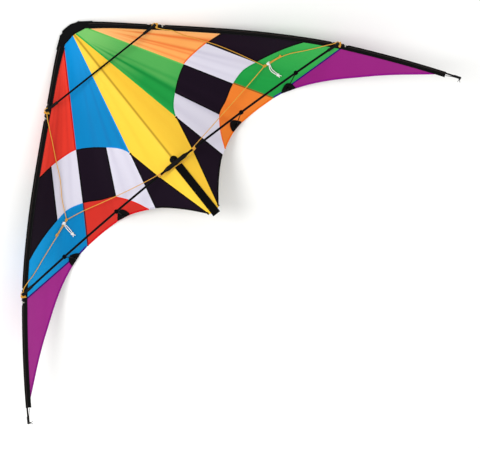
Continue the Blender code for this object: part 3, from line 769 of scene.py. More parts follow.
def flat_cut(name, nodes):
    """The face side of one or more packed panels, laid flat on the kite's plane as one face."""
    copies = []
    for packed in nodes:
        copy = linked(packed + "_cut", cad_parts[packed].data.copy())
        copy.data.transform(PLACE.inverted())
        copies.append(copy)
    piece = joined(name, copies) if len(copies) > 1 else copies[0]
    piece.name = name
    piece.data.name = name
    edit(piece)
    bpy.ops.mesh.remove_doubles(threshold=WELD)
    bpy.ops.mesh.select_all(action="DESELECT")
    bpy.ops.mesh.select_mode(type="FACE")
    done()
    for face in piece.data.polygons:
        face.select = face.normal.z < FACE_UP
    bpy.ops.object.mode_set(mode="EDIT")
    bpy.ops.mesh.delete(type="FACE")
    bpy.ops.mesh.select_mode(type="VERT")
    done()
    places = places_of(piece)
    places[:, 2] = 0
    move_to(piece, places)
    edit(piece)
    bpy.ops.mesh.remove_doubles(threshold=PLAN_WELD)
    bpy.ops.mesh.dissolve_limited(angle_limit=math.radians(1))
    done()
    return piece


def boundary(piece):
    """The longest closed outline of a flat cut, as points in order."""
    counts = {}
    for face in piece.data.polygons:
        for pair in face.edge_keys:
            counts[pair] = counts.get(pair, 0) + 1
    following = {}
    for a, b in (pair for pair, count in counts.items() if count == 1):
        following.setdefault(a, []).append(b)
        following.setdefault(b, []).append(a)
    places = places_of(piece)[:, :2]
    loops = []
    left = set(following)
    while left:
        start = left.pop()
        loop, before, here = [start], None, start
        while True:
            ahead = [n for n in following[here] if n != before and (n in left or n == start)]
            if not ahead or ahead[0] == start:
                break
            before, here = here, ahead[0]
            left.discard(here)
            loop.append(here)
        loops.append(places[loop])
    return max(loops, key=lambda loop: distances_along(loop)[-1])


def cut_size(outline):
    """Width, length and area of the smallest upright box that this outline fits when turned."""
    following = np.roll(outline, -1, axis=0)
    area = abs((outline[:, 0] * following[:, 1] - following[:, 0] * outline[:, 1]).sum()) / 2
    best = None
    for angle in np.radians(np.arange(0, 90, 3)):
        turn = np.array([[math.cos(angle), -math.sin(angle)], [math.sin(angle), math.cos(angle)]])
        size = np.ptp(outline @ turn, axis=0)
        if best is None or size.prod() < best.prod():
            best = size
    return tuple(sorted(float(s) for s in best)), float(area)


def gridded(piece, cell):
    """Cuts a flat panel along a square grid."""
    edit(piece)
    places = places_of(piece)
    for axis in (0, 1):
        first = math.ceil(places[:, axis].min() / cell)
        last = math.floor(places[:, axis].max() / cell)
        for line in range(first, last + 1):
            at = [0.0, 0.0, 0.0]
            at[axis] = line * cell
            bpy.ops.mesh.select_all(action="SELECT")
            bpy.ops.mesh.bisect(plane_co=at, plane_no=(axis == 0, axis == 1, 0))
    done()


def with_cloth_map(piece, places, name="cloth"):
    """Lays the weave square to the kite's plan, and notes it before the cloth is lifted."""
    layer = piece.data.uv_layers.get(name) or piece.data.uv_layers.new(name=name)
    corner = np.empty(len(piece.data.loops), np.int32)
    piece.data.loops.foreach_get("vertex_index", corner)
    layer.data.foreach_set("uv", places[corner, :2].astype(np.float32).ravel())


def with_share(piece, name, values):
    held = piece.data.attributes.get(name) or piece.data.attributes.new(name, "FLOAT", "POINT")
    held.data.foreach_set("value", np.clip(values, 0, 1).astype(np.float32))


def sail_level(plan):
    """The sail's height at places (x, y) of the plan, with the depth of its folds there."""
    out, back = np.abs(plan[:, 0]), -plan[:, 1]
    depth, low = np.zeros(len(plan)), np.zeros(len(plan))
    for letter, side in SIDES.items():
        here = plan[:, 0] * side >= 0
        if here.any():
            depth[here], low[here] = fold_depth(out[here], back[here], letter)
    return drape(out, back) + (low - depth) * MM, depth, low


# How far these shares deepen the panels' colours as painted shade: folds, hollows, the centre panel's
# right half
FOLD_PAINTED_SHADE, HOLLOW_PAINTED_SHADE, RIGHT_HALF_PAINTED_SHADE = 0.85, 0.5, 0.28
# Half width of the spine rod's painted shadow on the cloth
SPINE_SHADOW = 3.4 * MM
# Panels have painted light this near the nose, paler: full at the first distance and not at all at the
# second.
NOSE_PAINTED_LIGHT = (0.08, 0.31)
# The green panel has a little painted light past its fold, in degrees from the spine, near the nose.
GREEN_PAINTED_LIGHT, GREEN_FOLD, GREEN_REACH = 0.4, (24.5, 21.5), (0.35, 0.55)
# A fold's painted shade takes away from the share of painted light.
FOLD_SHADE = 1.2


# The share of painted light: paler near the nose, near some leading edges, past the green panel's fold.
def painted_light_share(panel, letter, out, back):
    reach = np.hypot(out, back)
    pale = ramp(reach, *NOSE_PAINTED_LIGHT)
    if panel in EDGE_PAINTED_LIGHT:
        pale = np.maximum(pale, ramp(out_at(SAIL_LINE, back) - out, 0, EDGE_PAINTED_LIGHT[panel]))
    if (panel, letter) == ("upper", "R"):
        past_fold = ramp(np.degrees(np.arctan2(out, back)), *GREEN_FOLD)
        pale = np.maximum(pale, GREEN_PAINTED_LIGHT * past_fold * ramp(reach, *GREEN_REACH))
    return pale


def lifted(piece, panel, letter):
    """Gives a flat cut the sail's form, its folds, and shares of painted shade and light for its
    colours.
    """
    places = places_of(piece)
    out, back = np.abs(places[:, 0]), -places[:, 1]
    places[:, 2], depth, low = sail_level(places[:, :2])
    with_cloth_map(piece, places)
    # Painted shade: deeper colour in folds and hollows, and on the centre panel's right half.
    right_half_shade = RIGHT_HALF_PAINTED_SHADE * (places[:, 0] > 0) * (letter is None)
    with_share(piece, "fold", depth * FOLD_PAINTED_SHADE + np.maximum(-low, 0) * HOLLOW_PAINTED_SHADE + right_half_shade)
    # Painted shadow of the spine rod behind the cloth, down to the tee.
    with_share(piece, "spine", np.exp(-((out / SPINE_SHADOW) ** 2)) * (back < TEE_BACK))
    # Painted light, less where a fold has painted shade.
    shade = np.clip(depth * FOLD_SHADE, 0, 1)
    with_share(piece, "pale", painted_light_share(panel, letter, out, back) * (1 - shade))
    move_to(piece, places)


def thickened(piece, thickness):
    modify(piece, "SOLIDIFY", thickness=thickness, offset=0.0)


TEE_HOLE_OUT, TEE_HOLE_BACK = 0.012, (0.56, 0.61)


def fill_tee_hole(piece):
    """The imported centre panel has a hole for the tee, which the round patch covers."""
    edit(piece)
    bpy.ops.mesh.select_all(action="DESELECT")
    done()
    near, far = TEE_HOLE_BACK
    for vertex in piece.data.vertices:
        vertex.select = abs(vertex.co.x) < TEE_HOLE_OUT and near < -vertex.co.y < far
    bpy.ops.object.mode_set(mode="EDIT")
    bpy.ops.mesh.edge_face_add()
    done()


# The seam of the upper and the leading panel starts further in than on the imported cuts, at the
# webbing's corner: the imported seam's ends as (out, back), and the shift of its first one.
NOSE_SEAM = np.array([(0.0580, 0.0385), (0.1325, 0.1650)])
NOSE_SEAM_SHIFT, NOSE_SEAM_NEAR = 5.8 * MM, 3 * MM


def seam_to_corner(piece):
    """Shifts a cut's points on that seam towards the spine, less and less with the way back."""
    start, end = NOSE_SEAM
    way = (end - start) / np.linalg.norm(end - start)
    for vertex in piece.data.vertices:
        gap = np.array([abs(vertex.co.x), -vertex.co.y]) - start
        beside = abs(gap[0] * way[1] - gap[1] * way[0])
        share = 1 - gap[1] / (end - start)[1]
        if beside < NOSE_SEAM_NEAR and 0 < share < 1.05:
            vertex.co.x -= math.copysign(NOSE_SEAM_SHIFT * share, vertex.co.x)


def add_panels():
    """Every panel, from its packed cut. Returns the flat outlines by panel and wing."""
    outlines = {}
    jobs = [("centre", None, ["sail_centre_L", "sail_centre_R"])]
    for panel in PANELS:
        if panel != "centre":
            jobs += [(panel, letter, [f"sail_{panel}_{letter}"]) for letter in SIDES]
    for panel, letter, nodes in jobs:
        name = f"panel_{panel}" + (f"_{letter}" if letter else "")
        piece = flat_cut(name, nodes)
        if panel in ("upper", "leading"):
            seam_to_corner(piece)
        outlines[panel, letter] = boundary(piece)
        if letter is None:
            fill_tee_hole(piece)
        gridded(piece, CELL)
        modify(piece, "SUBSURF", subdivision_type="SIMPLE", levels=2 if panel in FINE_PANELS else 1)
        lifted(piece, panel, letter)
        thickened(piece, CLOTH)
        look = panel_colour(panel, letter or "R")
        finish(piece, CLOTHS[look], nodes)
        (width, length), seen = cut_size(outlines[panel, letter])
    return outlines


# Camera, light and floor


def add_camera():
    data = bpy.data.cameras.new("camera")
    data.lens = VIEW_LENS
    data.clip_end = 60.0
    camera = linked("camera", data)
    turn = Matrix.Rotation(VIEW_YAW, 4, "Y") @ Matrix.Rotation(VIEW_PITCH, 4, "X")
    turn = turn @ Matrix.Rotation(VIEW_ROLL, 4, "Z")
    away = turn @ Vector((0, 0, VIEW_DISTANCE))
    camera.matrix_world = PLACE @ Matrix.Translation(VIEW_MIDDLE + away) @ turn
    bpy.context.scene.camera = camera


def add_lamp(name, place, target, size, power):
    data = bpy.data.lights.new(name, "AREA")
    data.shape = "DISK"
    data.size = size
    data.energy = power
    lamp = linked(name, data)
    lamp.location = place
    lamp.rotation_euler = (Vector(target) - Vector(place)).to_track_quat("-Z", "Y").to_euler()
    lamp.visible_camera = False


def add_studio():
    bpy.ops.mesh.primitive_plane_add(size=40)
    floor = added("floor")
    floor.location.z = -0.5 * MM
    floor.data.materials.append(plain_floor("painted_floor"))
    world = bpy.data.worlds.new("soft_light")
    world.use_nodes = True
    shade, strength = world.node_tree.nodes["Background"].inputs[:2]
    shade.default_value = (1.0, 1.0, 1.0, 1.0)
    strength.default_value = 0.90
    bpy.context.scene.world = world
    add_lamp("key", place=(-2.6, 3.0, 5.0), target=(0, 0, 0), size=2.6, power=200)
    bpy.context.scene.view_settings.view_transform = "Standard"


# Cords


def route_in_plane(route):
    return [(x, -y, z) for x, y, z in route]


def in_place(points):
    return [tuple(PLACE @ Vector(p)) for p in points]


def cord_tube(name, points, radius, step=1.5 * MM):
    return tube(name, points, radius, around=8, step=step)


def add_cord(name, line, diameter, material, slot, replaces, **words):
    """A free line along points on the kite's plane."""
    line = np.array(line, float)
    piece = cord_tube(name, line, diameter / 2, step=2.5 * MM)
    finish(piece, material, replaces, angle=60)
    path = in_place(line)
    length = float(distances_along(np.array(path))[-1])


# Seams and hems

SEAM_CODES = {
    ("purple", "blue"): "#2A0A6A", ("red", "blue"): "#B81604", ("green", "orange"): "#5FB253",
    ("green", "white"): "#0F8A3C", ("orange", "white"): "#E2682A", ("red", "white"): "#D02418",
    ("blue", "white"): "#0A80C8", ("blue", "yellow"): "#0A86CC", ("green", "yellow"): "#1FA045",
    ("purple", "green"): "#2A0A6A", ("purple", "orange"): "#5C1A3C",
}
LOWER_SEAM_CODES = {("red", "blue"): "#5A1A20", ("green", "orange"): "#8A5A20"}
BLACK_SEAM = "#020202"
HEM_CODES = {
    "purple": "#860A7C", "red": "#C80A18", "orange": "#E06A16", "blue": "#0672B4", "green": "#128038",
    "yellow": "#E0A818", "white": "#BCB8C8", "black": "#020202",
}
# The tip's cloth is turned over this panel's free edge as well.
LOWER_OUTER_HEM = "#34127A"
# From the most to the least covering cloth: a seam's allowance lies on the first one's side.
DARKNESS = ["black", "purple", "red", "blue", "green", "orange", "yellow", "white"]
SEWN = 1.5 * MM
SHORTEST_SEAM = 14 * MM
SEAM_STEP = 4 * MM
# The sail's free edges lie further back than this, and this far in from the sleeves.
TAIL_FROM, TAIL_IN = 0.4, 3 * MM
# Rows of stitches, at shares of the width, and how much thicker than a seam the hem is rolled
SEAM_ROWS, HEM_ROWS, HEM_ROLL = (0.25, 0.8), (0.8,), 1.3


def turned_left(outline):
    """The outline in the order that keeps its inside on the left."""
    following = np.roll(outline, -1, axis=0)
    area = (outline[:, 0] * following[:, 1] - following[:, 0] * outline[:, 1]).sum()
    return outline if area > 0 else outline[::-1]


def resampled(outline, step=SEAM_STEP):
    closed = np.vstack([outline, outline[:1]])
    length = distances_along(closed)[-1]
    return evenly(closed, np.linspace(0, 1, round(length / step), endpoint=False))


def gap_to(points, outline):
    """Each point's distance from a closed outline."""
    side = np.roll(outline, -1, axis=0) - outline
    along = ((points[:, None] - outline) * side).sum(axis=2) / (side**2).sum(axis=1)
    nearest = outline + np.clip(along, 0, 1)[..., None] * side
    return np.linalg.norm(points[:, None] - nearest, axis=2).min(axis=1)


def runs(points, chosen):
    """The stretches of a closed outline whose points are all chosen."""
    first = int(np.argmin(chosen))
    points, chosen = np.roll(points, -first, axis=0), np.roll(chosen, -first)
    found, current = [], []
    for point, wanted in zip(points, chosen):
        if wanted:
            current.append(point)
        elif current:
            found.append(np.array(current))
            current = []
    if current:
        found.append(np.array(current))
    return [run for run in found if len(run) > 2 and distances_along(run)[-1] > SHORTEST_SEAM]


def ribbon(name, line, width, thickness, lift=0.0, start=-0.4 * MM):
    """A strip of cloth to the left of a line on the plan, which follows the sail's form."""
    length = distances_along(line)[-1]
    left = sides_of(line)

    def shape(s, t):
        plan = evenly(line, s) + read_along(line, left, s) * (start + t * width)[:, None]
        return np.column_stack([plan, sail_level(plan)[0] + lift])

    return laid(name, max(2, round(length / SEAM_STEP)), 3, shape, (length, width), thickness)


SEWN_CLOTHS = {}
# Black cloth shows a paler thread, and any other cloth its own colour.
THREAD_ON_BLACK = "#241F26"
BLACK_LEVEL = 0.03


def sewn(code, width, kind, rows):
    """The doubled cloth of this colour, made once."""
    name = f"{kind}_{code[1:]}"
    if name not in SEWN_CLOTHS:
        thread = THREAD_ON_BLACK if sum(colour(code)[:3]) < BLACK_LEVEL else code
        SEWN_CLOTHS[name] = doubled(name, code, thread, width, rows)
    return SEWN_CLOTHS[name]


# Each panel's seams are a little thicker than the last one's, so that no two faces coincide.
SEAM_STAGGER, STAGGER_LEVELS = 0.04, 5


def add_seams(outlines):
    """A felled seam on the darker side of every two panels that meet."""
    seamed = set()
    for (panel, letter), outline in outlines.items():
        mine = panel_hue(panel, letter or "R")
        points = resampled(outline)
        codes = {**SEAM_CODES, **(LOWER_SEAM_CODES if panel.startswith("lower") else {})}
        for (other, side), facing in outlines.items():
            theirs = panel_hue(other, side or "R")
            if (other, side) == (panel, letter) or DARKNESS.index(mine) >= DARKNESS.index(theirs):
                continue
            if side and letter and side != letter:
                continue
            for number, line in enumerate(runs(points, gap_to(points, facing) < SEWN)):
                code = BLACK_SEAM if mine == "black" else codes.get((mine, theirs), HEM_CODES[mine])
                name = f"seam_{panel}_{other}_{letter or side}" + (f"_{number}" if number else "")
                thickness = SEAM_THICKNESS * (1 + SEAM_STAGGER * (len(seamed) % STAGGER_LEVELS))
                piece = ribbon(name, line, SEAM, thickness)
                finish(piece, sewn(code, SEAM, "seam", SEAM_ROWS))
                seamed.add((panel, letter))


def add_hems(outlines):
    """A rolled hem along every free edge of the sail's tail."""
    for (panel, letter), outline in outlines.items():
        points = resampled(outline)
        free = -points[:, 1] > TAIL_FROM
        for key, facing in outlines.items():
            if key != (panel, letter):
                free &= gap_to(points, facing) > SEWN
        edge = out_at(SAIL_LINE, -points[:, 1])
        free &= np.abs(points[:, 0]) < edge - TAIL_IN
        for number, line in enumerate(runs(points, free)):
            hue = panel_hue(panel, letter or ("R" if line[:, 0].mean() > 0 else "L"))
            name = f"hem_{panel}_{letter or 'C'}_{number}"
            piece = ribbon(name, line, HEM, SEAM_THICKNESS * HEM_ROLL, start=-0.2 * MM)
            code = LOWER_OUTER_HEM if panel == "lower_outer" else HEM_CODES[hue]
            finish(piece, sewn(code, HEM, "hem", HEM_ROWS))


# Sleeves, nose and tape

# Half of the sleeve's cross-section, in millimetres: (in from the leading edge, height). It is
# folded round the rod, sewn down beside it and lies flat on the sail from there.
SLEEVE_SECTION = [
    (0.0, 0.0), (0.1, 1.2), (0.9, 2.8), (2.6, 4.0), (4.6, 4.35), (6.6, 3.9), (8.2, 2.7), (9.6, 1.5),
    (11.2, 0.95), (13.5, 0.85), (16.5, 0.85), (19.0, 0.8),
]
SLEEVE_ROWS = (0.04, 0.19, 0.81, 0.96)
# The sleeve has a painted highlight along its crown over the rod: share of its width, half width,
# colour.
SLEEVE_CROWN_HIGHLIGHT = (0.305, 1.4 * MM, "#2A2422")
NOSE_FLARE = 0.28
# The sleeve's cloth is a little loose between its stitching and its edge: where it is fully so and
# not at all, on the near and on the far side
LOOSE_NEAR, LOOSE_FAR = (10 * MM, 7 * MM), (15 * MM, 18 * MM)
LOOSENESS = 0.5 * MM
WAVES_ALONG, WAVES_ACROSS = 70, 6
# In the sleeve's cut-outs only its flat edge goes on.
FLANGES = ((0.150, 0.203), (0.590, 0.649))
FLANGE_INSET = 7.6 * MM
FLANGE_WIDTH = 11 * MM
SLEEVE_THICKNESS, FLANGE_THICKNESS = 0.6 * MM, 1.3 * MM


def add_sleeve(part, cloth, whole, inwards):
    line = stretch(EDGE_LINE, *SLEEVE_LENGTHS[part], 4 * MM)
    length, around = distances_along(line)[-1], distances_along(whole)[-1]
    inward = np.stack([np.interp(line[:, 1], EDGE_LINE[:, 1], way) for way in inwards.T], axis=1)
    flare = NOSE_FLARE * (part == "nose")

    def shape(s, t):
        across, height = read_along(whole, whole, t).T
        loose = wobble(s * length * WAVES_ALONG, t * WAVES_ACROSS, 2.0)
        height = height + loose * ramp(across, *LOOSE_NEAR) * ramp(across, *LOOSE_FAR) * LOOSENESS
        wider = 1 + flare * (1 - s) ** 2 * ramp(across, 10 * MM, 0)
        plan = evenly(line, s) * (1, -1) + read_along(line, inward, s) * (across * wider)[:, None]
        return np.column_stack([plan, height])

    cells = round(length / (6 * MM))
    piece = laid("sleeve_" + part, cells, 30, shape, (length, around), SLEEVE_THICKNESS)
    both_wings(piece, f"sleeve_{part}_tape", cloth, ["sleeve_" + part])


def add_flange(number, start, end, cloth):
    line = stretch(moved_inwards(EDGE_LINE, FLANGE_INSET), start, end, 4 * MM) * (1, -1)
    left = -sides_of(line)

    def flat(s, t):
        plan = evenly(line, s) + read_along(line, left, s) * (t * FLANGE_WIDTH)[:, None]
        return np.column_stack([plan, np.zeros(len(s))])

    size = (end - start, FLANGE_WIDTH)
    piece = laid(f"flange_{number}", 12, 3, flat, size, FLANGE_THICKNESS)
    both_wings(piece, f"sleeve_flange_{number}", cloth, [])


def add_sleeves():
    half = smooth(SLEEVE_SECTION, 0.6) * MM
    whole = np.vstack([half[::-1], half[1:] * (1, -1)])
    around = distances_along(whole)[-1]
    cloth = doubled("sleeve", "#030303", "#2E2E31", around, SLEEVE_ROWS, SLEEVE_CROWN_HIGHLIGHT)
    for part in SLEEVE_LENGTHS:
        add_sleeve(part, cloth, whole, -sides_of(EDGE_LINE * (1, -1)))
    for number, (start, end) in enumerate(FLANGES):
        add_flange(number, start, end, cloth)


NOSE_MIDDLE = -2.0 * MM
NOSE_HALF = 6.4 * MM
NOSE_DENTS = 0.35 * MM
# The webbing's section is a rounded box, which this power squares up. It is thinner at its inner
# edge and at its ends.
NOSE_SQUARENESS = 0.45
NOSE_THINNING, NOSE_END_THINNING = 0.45, 0.10
# Each fold's plumpness, its outer edge and its inner edge as (out, back)
WEBBING_FOLDS = {
    "centre": (
        1.0,
        [(-0.0415, 0.0), (-0.0289, -0.0010), (-0.0250, -0.0070), (-0.0161, -0.0085), (0.0111, -0.0085),
         (0.0200, -0.0060), (0.0290, -0.0018), (0.0415, 0.0)],
        [(-0.047, 0.0349), (0.0, 0.0267), (0.047, 0.0349)],
    ),
    "R": (0.92, [(0.0375, -0.0008), (0.0794, 0.0298)], [(0.0440, 0.0352), (0.0560, 0.0437)]),
    "L": (0.92, [(-0.0794, 0.0298), (-0.0375, -0.0008)], [(-0.0535, 0.0405), (-0.0440, 0.0352)]),
}


def squared(wave):
    return np.sign(wave) * np.abs(wave) ** NOSE_SQUARENESS


def nose_fold(name, plump, outer, inner):
    """A rounded pad whose inner edge is pressed flat on the sail."""
    outer, inner = np.array(outer), np.array(inner)

    def shape(s, t):
        inwards = (squared(np.cos(2 * np.pi * t)) + 1) / 2
        taper = 1 - NOSE_THINNING * inwards**2
        end = 1 - NOSE_END_THINNING * np.abs(2 * s - 1) ** 6
        out, back = (evenly(outer, s) * (1 - inwards)[:, None] + evenly(inner, s) * inwards[:, None]).T
        half = NOSE_HALF * plump * taper * end + NOSE_DENTS * wobble(s * 7, t * 5, 1.0)
        return np.column_stack([out, -back, NOSE_MIDDLE + half * squared(np.sin(2 * np.pi * t))])

    piece = laid("nose_" + name, 20, 36, shape, (distances_along(outer)[-1], 0.08))
    closed_up(piece)
    return piece


def add_nose():
    folds = [nose_fold(name, *form) for name, form in WEBBING_FOLDS.items()]
    finish(joined("nose_webbing_folds", folds), WEBBING, ["nose_webbing"])


STRAP_HALF_WIDTH = 14.3 * MM
STRAP = (0.5970, 0.808)
# Levels of the strap from the sail's: on its face, and behind the spine
STRAP_LIFT, STRAP_DROP = 1.9 * MM, 8.9 * MM
STRAP_UNEVENNESS, STRAP_THICKNESS = 0.5 * MM, 1.5 * MM


def strap_route():
    """Points (back, level) down the face, round the tail end (side 0) and back under the spine."""
    start, end = STRAP
    top = [(back, 1.0) for back in np.linspace(start, end - 4 * MM, 24)]
    turn = [(end - 1.5 * MM, 0.8), (end, 0.0), (end - 1.5 * MM, -1.0)]
    under = [(back, -1.0) for back in np.linspace(end - 5 * MM, end - 60 * MM, 8)]
    sides = np.array([*top, *turn, *under])
    share = sides[:, 1]
    level = drape(np.zeros(len(sides)), sides[:, 0])
    level += np.where(share > 0, STRAP_LIFT * share, STRAP_DROP * share)
    return smooth(np.column_stack([sides[:, 0], level]), 3 * MM)


def add_strap():
    """The hook-and-loop strap lies over the spine and turns round the spine's tail end."""
    route = strap_route()
    length = distances_along(route)[-1]

    def shape(s, t):
        back, level = evenly(route, s).T
        out = (t - 0.5) * 2 * STRAP_HALF_WIDTH
        return np.column_stack([out, -back, level + STRAP_UNEVENNESS * wobble(s * 9, t * 2, 4.0)])

    piece = laid("strap", 80, 12, shape, (length, 2 * STRAP_HALF_WIDTH), STRAP_THICKNESS)
    modify(piece, "BEVEL", width=0.4 * MM, segments=2, limit_method="ANGLE")
    finish(piece, LOOP_TAPE, ["tail_strap"])


PATCH_LIFT, PATCH_THICKNESS, PATCH_CELL = 2.3 * MM, 1.0 * MM, 5 * MM
BINDING, BINDING_THICKNESS, BINDING_START = 3.4 * MM, 1.5 * MM, -1.1 * MM


def add_patches():
    for name in ("inner", "outer"):
        for letter in SIDES:
            node_name = f"patch_{name}_{letter}"
            piece = flat_cut(node_name + "_tape", [node_name])
            outline = turned_left(boundary(piece))
            gridded(piece, PATCH_CELL)
            places = places_of(piece)
            with_cloth_map(piece, places, "UVMap")
            places[:, 2] = sail_level(places[:, :2])[0] + PATCH_LIFT
            move_to(piece, places)
            thickened(piece, PATCH_THICKNESS)
            finish(piece, PATCH_TAPE, [node_name])
            line = np.vstack([resampled(outline, 2 * MM), outline[:1]])
            rim_name = f"patch_{name}_binding_{letter}"
            rim = ribbon(rim_name, line, BINDING, BINDING_THICKNESS, PATCH_LIFT, BINDING_START)
            finish(rim, sewn("#040404", 3 * MM, "binding", (0.7,)))


DISC_MIDDLE, DISC_RADIUS, DISC_THICKNESS = np.array([0.0, -0.573]), 14.0 * MM, 0.9 * MM


def add_round_patch():
    """The disc of tape round the tee's hole."""

    def shape(s, t):
        reach, turn = np.sqrt(np.clip(t, 0.002, 1)) * DISC_RADIUS, 2 * np.pi * s
        plan = DISC_MIDDLE + np.column_stack([np.cos(turn), np.sin(turn)]) * reach[:, None]
        return np.column_stack([plan, sail_level(plan)[0] + DISC_THICKNESS])

    piece = laid("spine_patch", 40, 6, shape, (2 * np.pi * DISC_RADIUS, DISC_RADIUS))
    edit(piece)
    bpy.ops.mesh.remove_doubles(threshold=WELD)
    done()
    thickened(piece, DISC_THICKNESS)
    finish(piece, sewn("#040404", DISC_RADIUS, "disc", (0.85,)))


# Rods and fittings


def plan_line(line, level):
    return np.column_stack([line[:, 0], -line[:, 1], np.full(len(line), level)])


ROD_ROUTE = stretch(ROD_LINE, 0.0188, LEADING_EDGE[-1][1] - 0.010, 0.03)
ROD_RADIUS, UPPER_RADIUS, LOWER_RADIUS, STEM_RADIUS = 3.0 * MM, 3.3 * MM, 3.9 * MM, 1.5 * MM
# The spreaders end this far from the leading-edge rods' middles.
SPREADER_STOP = 9.5 * MM


def rod_at(back):
    """The right leading-edge rod's middle at this distance back, and the way it runs."""
    out, ahead = np.interp([back, back + 0.002], ROD_ROUTE[:, 1], ROD_ROUTE[:, 0])
    return Vector((float(out), -back, 0)), Vector((float(ahead - out), -0.002, 0)).normalized()


def rod(name, line, radius):
    return tube(name, line, radius, around=20, step=8 * MM)


def add_rods():
    spine = rod("spine", [(0, -0.012, SPINE_LEVEL), (0, -SPINE_TAIL, SPINE_LEVEL)], ROD_RADIUS)
    finish(spine, CARBON, ["spine_rod"], angle=50)
    reach = rod_at(-UPPER_SPREADER_AT.y)[0].x - SPREADER_STOP
    ends = [(x, UPPER_SPREADER_AT.y, SPREADER_LEVEL) for x in (-reach, reach)]
    finish(rod("upper", ends, UPPER_RADIUS), CARBON, ["upper_spreader"], angle=50)
    outs = np.linspace(0.005, rod_at(LOWER_TIP[1])[0].x - SPREADER_STOP, 60)
    lower = np.column_stack([outs, [lower_spreader_back(x) for x in outs]])
    tubes = {
        "lower_spreader": (plan_line(lower, SPREADER_LEVEL), LOWER_RADIUS),
        "leading_rod": (plan_line(ROD_ROUTE, 0), ROD_RADIUS),
    }
    for name, form in tubes.items():
        both_wings(rod(name, *form), name + "_tube", CARBON, [name])


def shouldered(radius, lip, lip_at=0.06):
    """The profile of a moulded sleeve: rounded ends with a raised lip at both."""
    return both_ends([
        (0.0, radius - 0.8), (0.01, radius - 0.2), (0.02, radius + lip), (lip_at, radius + lip),
        (lip_at + 0.02, radius),
    ])


def eased(radius, length, edge=0.8):
    """The profile of a plain ring with rounded edges."""
    share = edge * MM / length
    return both_ends([(0, radius - edge), (0.3 * share, radius - 0.3 * edge), (share, radius)])


# Profiles of turned fittings: (share of the way, radius in millimetres)
TEE_BARREL = both_ends([
    (0.0, 4.4), (0.006, 5.0), (0.012, 5.2), (0.06, 5.2), (0.075, 6.2), (0.10, 7.0), (0.14, 7.5),
])
TEE_RIB = both_ends([(0, 7.4), (0.3, 8.0)])
TEE_STEM = [(0, 5.0), (0.5, 4.6), (1, 5.6)]
POST = [(0, 5.2), (0.5, 4.9), (1, 5.2)]
BUMP = [(0, 2.0), (0.6, 1.9), (0.9, 1.3), (1, 0.7)]
NOCK = [
    (0.0, 3.6), (0.02, 4.3), (0.06, 4.5), (0.5, 4.5), (0.53, 4.1), (0.62, 4.1), (0.65, 4.5),
    (0.80, 4.4), (0.82, 2.9), (0.88, 2.9), (0.90, 4.3), (0.97, 3.8), (1.0, 2.6),
]
RING = both_ends([(0.0, 3.4), (0.0, 5.4), (0.06, 6.6), (0.18, 7.3), (0.4, 7.5)])
NECK = [(0, 3.6), (0.5, 3.1), (0.97, 2.9), (1, 2.4)]
FOOT = [(0, 2.6), (0.05, 3.6), (0.3, 3.9), (0.8, 4.0), (0.9, 3.5), (0.97, 2.2), (1, 0.9)]


def across_tee(middle, half):
    return [Vector((x, -TEE_BACK, SPREADER_LEVEL)) for x in (middle - half, middle + half)]


def add_tee():
    seat = [(0, -TEE_BACK + y, SPINE_LEVEL) for y in (-0.011, 0.011)]
    stem = [(0, -TEE_BACK, level) for level in (SPINE_LEVEL, SPREADER_LEVEL)]
    pieces = [turned("tee_barrel", *across_tee(0, 0.050), TEE_BARREL, 32)]
    pieces.append(turned("tee_seat", *seat, shouldered(5.7, 0.3), 28))
    pieces.append(turned("tee_stem", *stem, TEE_STEM, 20))
    pieces += [turned("tee_rib", *across_tee(x, 2 * MM), TEE_RIB, 32) for x in (-0.032, 0.032)]
    finish(joined("centre_tee_moulding", pieces), VINYL, ["centre_tee"], angle=40)


# Connectors: distance back, length of the socket
CONNECTORS = {"upper": (-UPPER_SPREADER_AT.y, 46 * MM), "lower": (LOWER_TIP[1], 40 * MM)}
SOCKET_HEAD, GRIP_HALF = 5.5 * MM, 15 * MM
BUMP_SEAT, BUMP_HEIGHT = Vector((0, 0, 4.6 * MM)), Vector((0, 0, 1.5 * MM))
# Rings on the leading-edge rod past each connector: kind, start, length, radius in mm, material
STOPS = [("stop", 16 * MM, 7 * MM, 5.6, NYLON), ("clip", 26 * MM, 4 * MM, 4.2, CLIP)]


def add_connector(name, back, length):
    centre, ahead = rod_at(back)
    height, slope = back, 0.0
    if name == "lower":
        height = lower_spreader_back(centre.x)
        slope = height - lower_spreader_back(centre.x - length)
    top = Vector((centre.x, -height, SPREADER_LEVEL))
    inner = top + Vector((-length, slope, 0))
    begin = top + (top - inner).normalized() * SOCKET_HEAD
    grip = [centre - ahead * GRIP_HALF, centre + ahead * GRIP_HALF]
    pieces = [turned("grip", *grip, shouldered(5.2, 0.4, 0.10), 28)]
    pieces.append(turned("socket", begin, inner, shouldered(5.1, 0.5), 28))
    pieces.append(turned("post", centre, top, POST, 24))
    for share in (0.3, 0.75):
        middle = begin.lerp(inner, share) + BUMP_SEAT
        pieces.append(turned("bump", middle, middle + BUMP_HEIGHT, BUMP, 12))
    packed = name + "_connector"
    both_wings(joined(name, pieces), packed + "_moulding", NYLON, [packed], angle=40)
    for kind, start, long, radius, look in STOPS:
        ends = centre + ahead * start, centre + ahead * (start + long)
        ring = turned(kind, *ends, eased(radius, long))
        both_wings(ring, f"{name}_{kind}_ring", look, [])


def rod_tip():
    """The right leading-edge rod's end, and the way it runs there."""
    before, tip = (Vector((x, -y, 0)) for x, y in ROD_ROUTE[-2:])
    return tip, (tip - before).normalized()


def add_nocks():
    tip, ahead = rod_tip()
    nock = turned("nock", tip - ahead * 16 * MM, tip + ahead * 10 * MM, NOCK, 28)
    both_wings(nock, "tip_nock_moulding", NYLON, ["tip_nock"], angle=40)


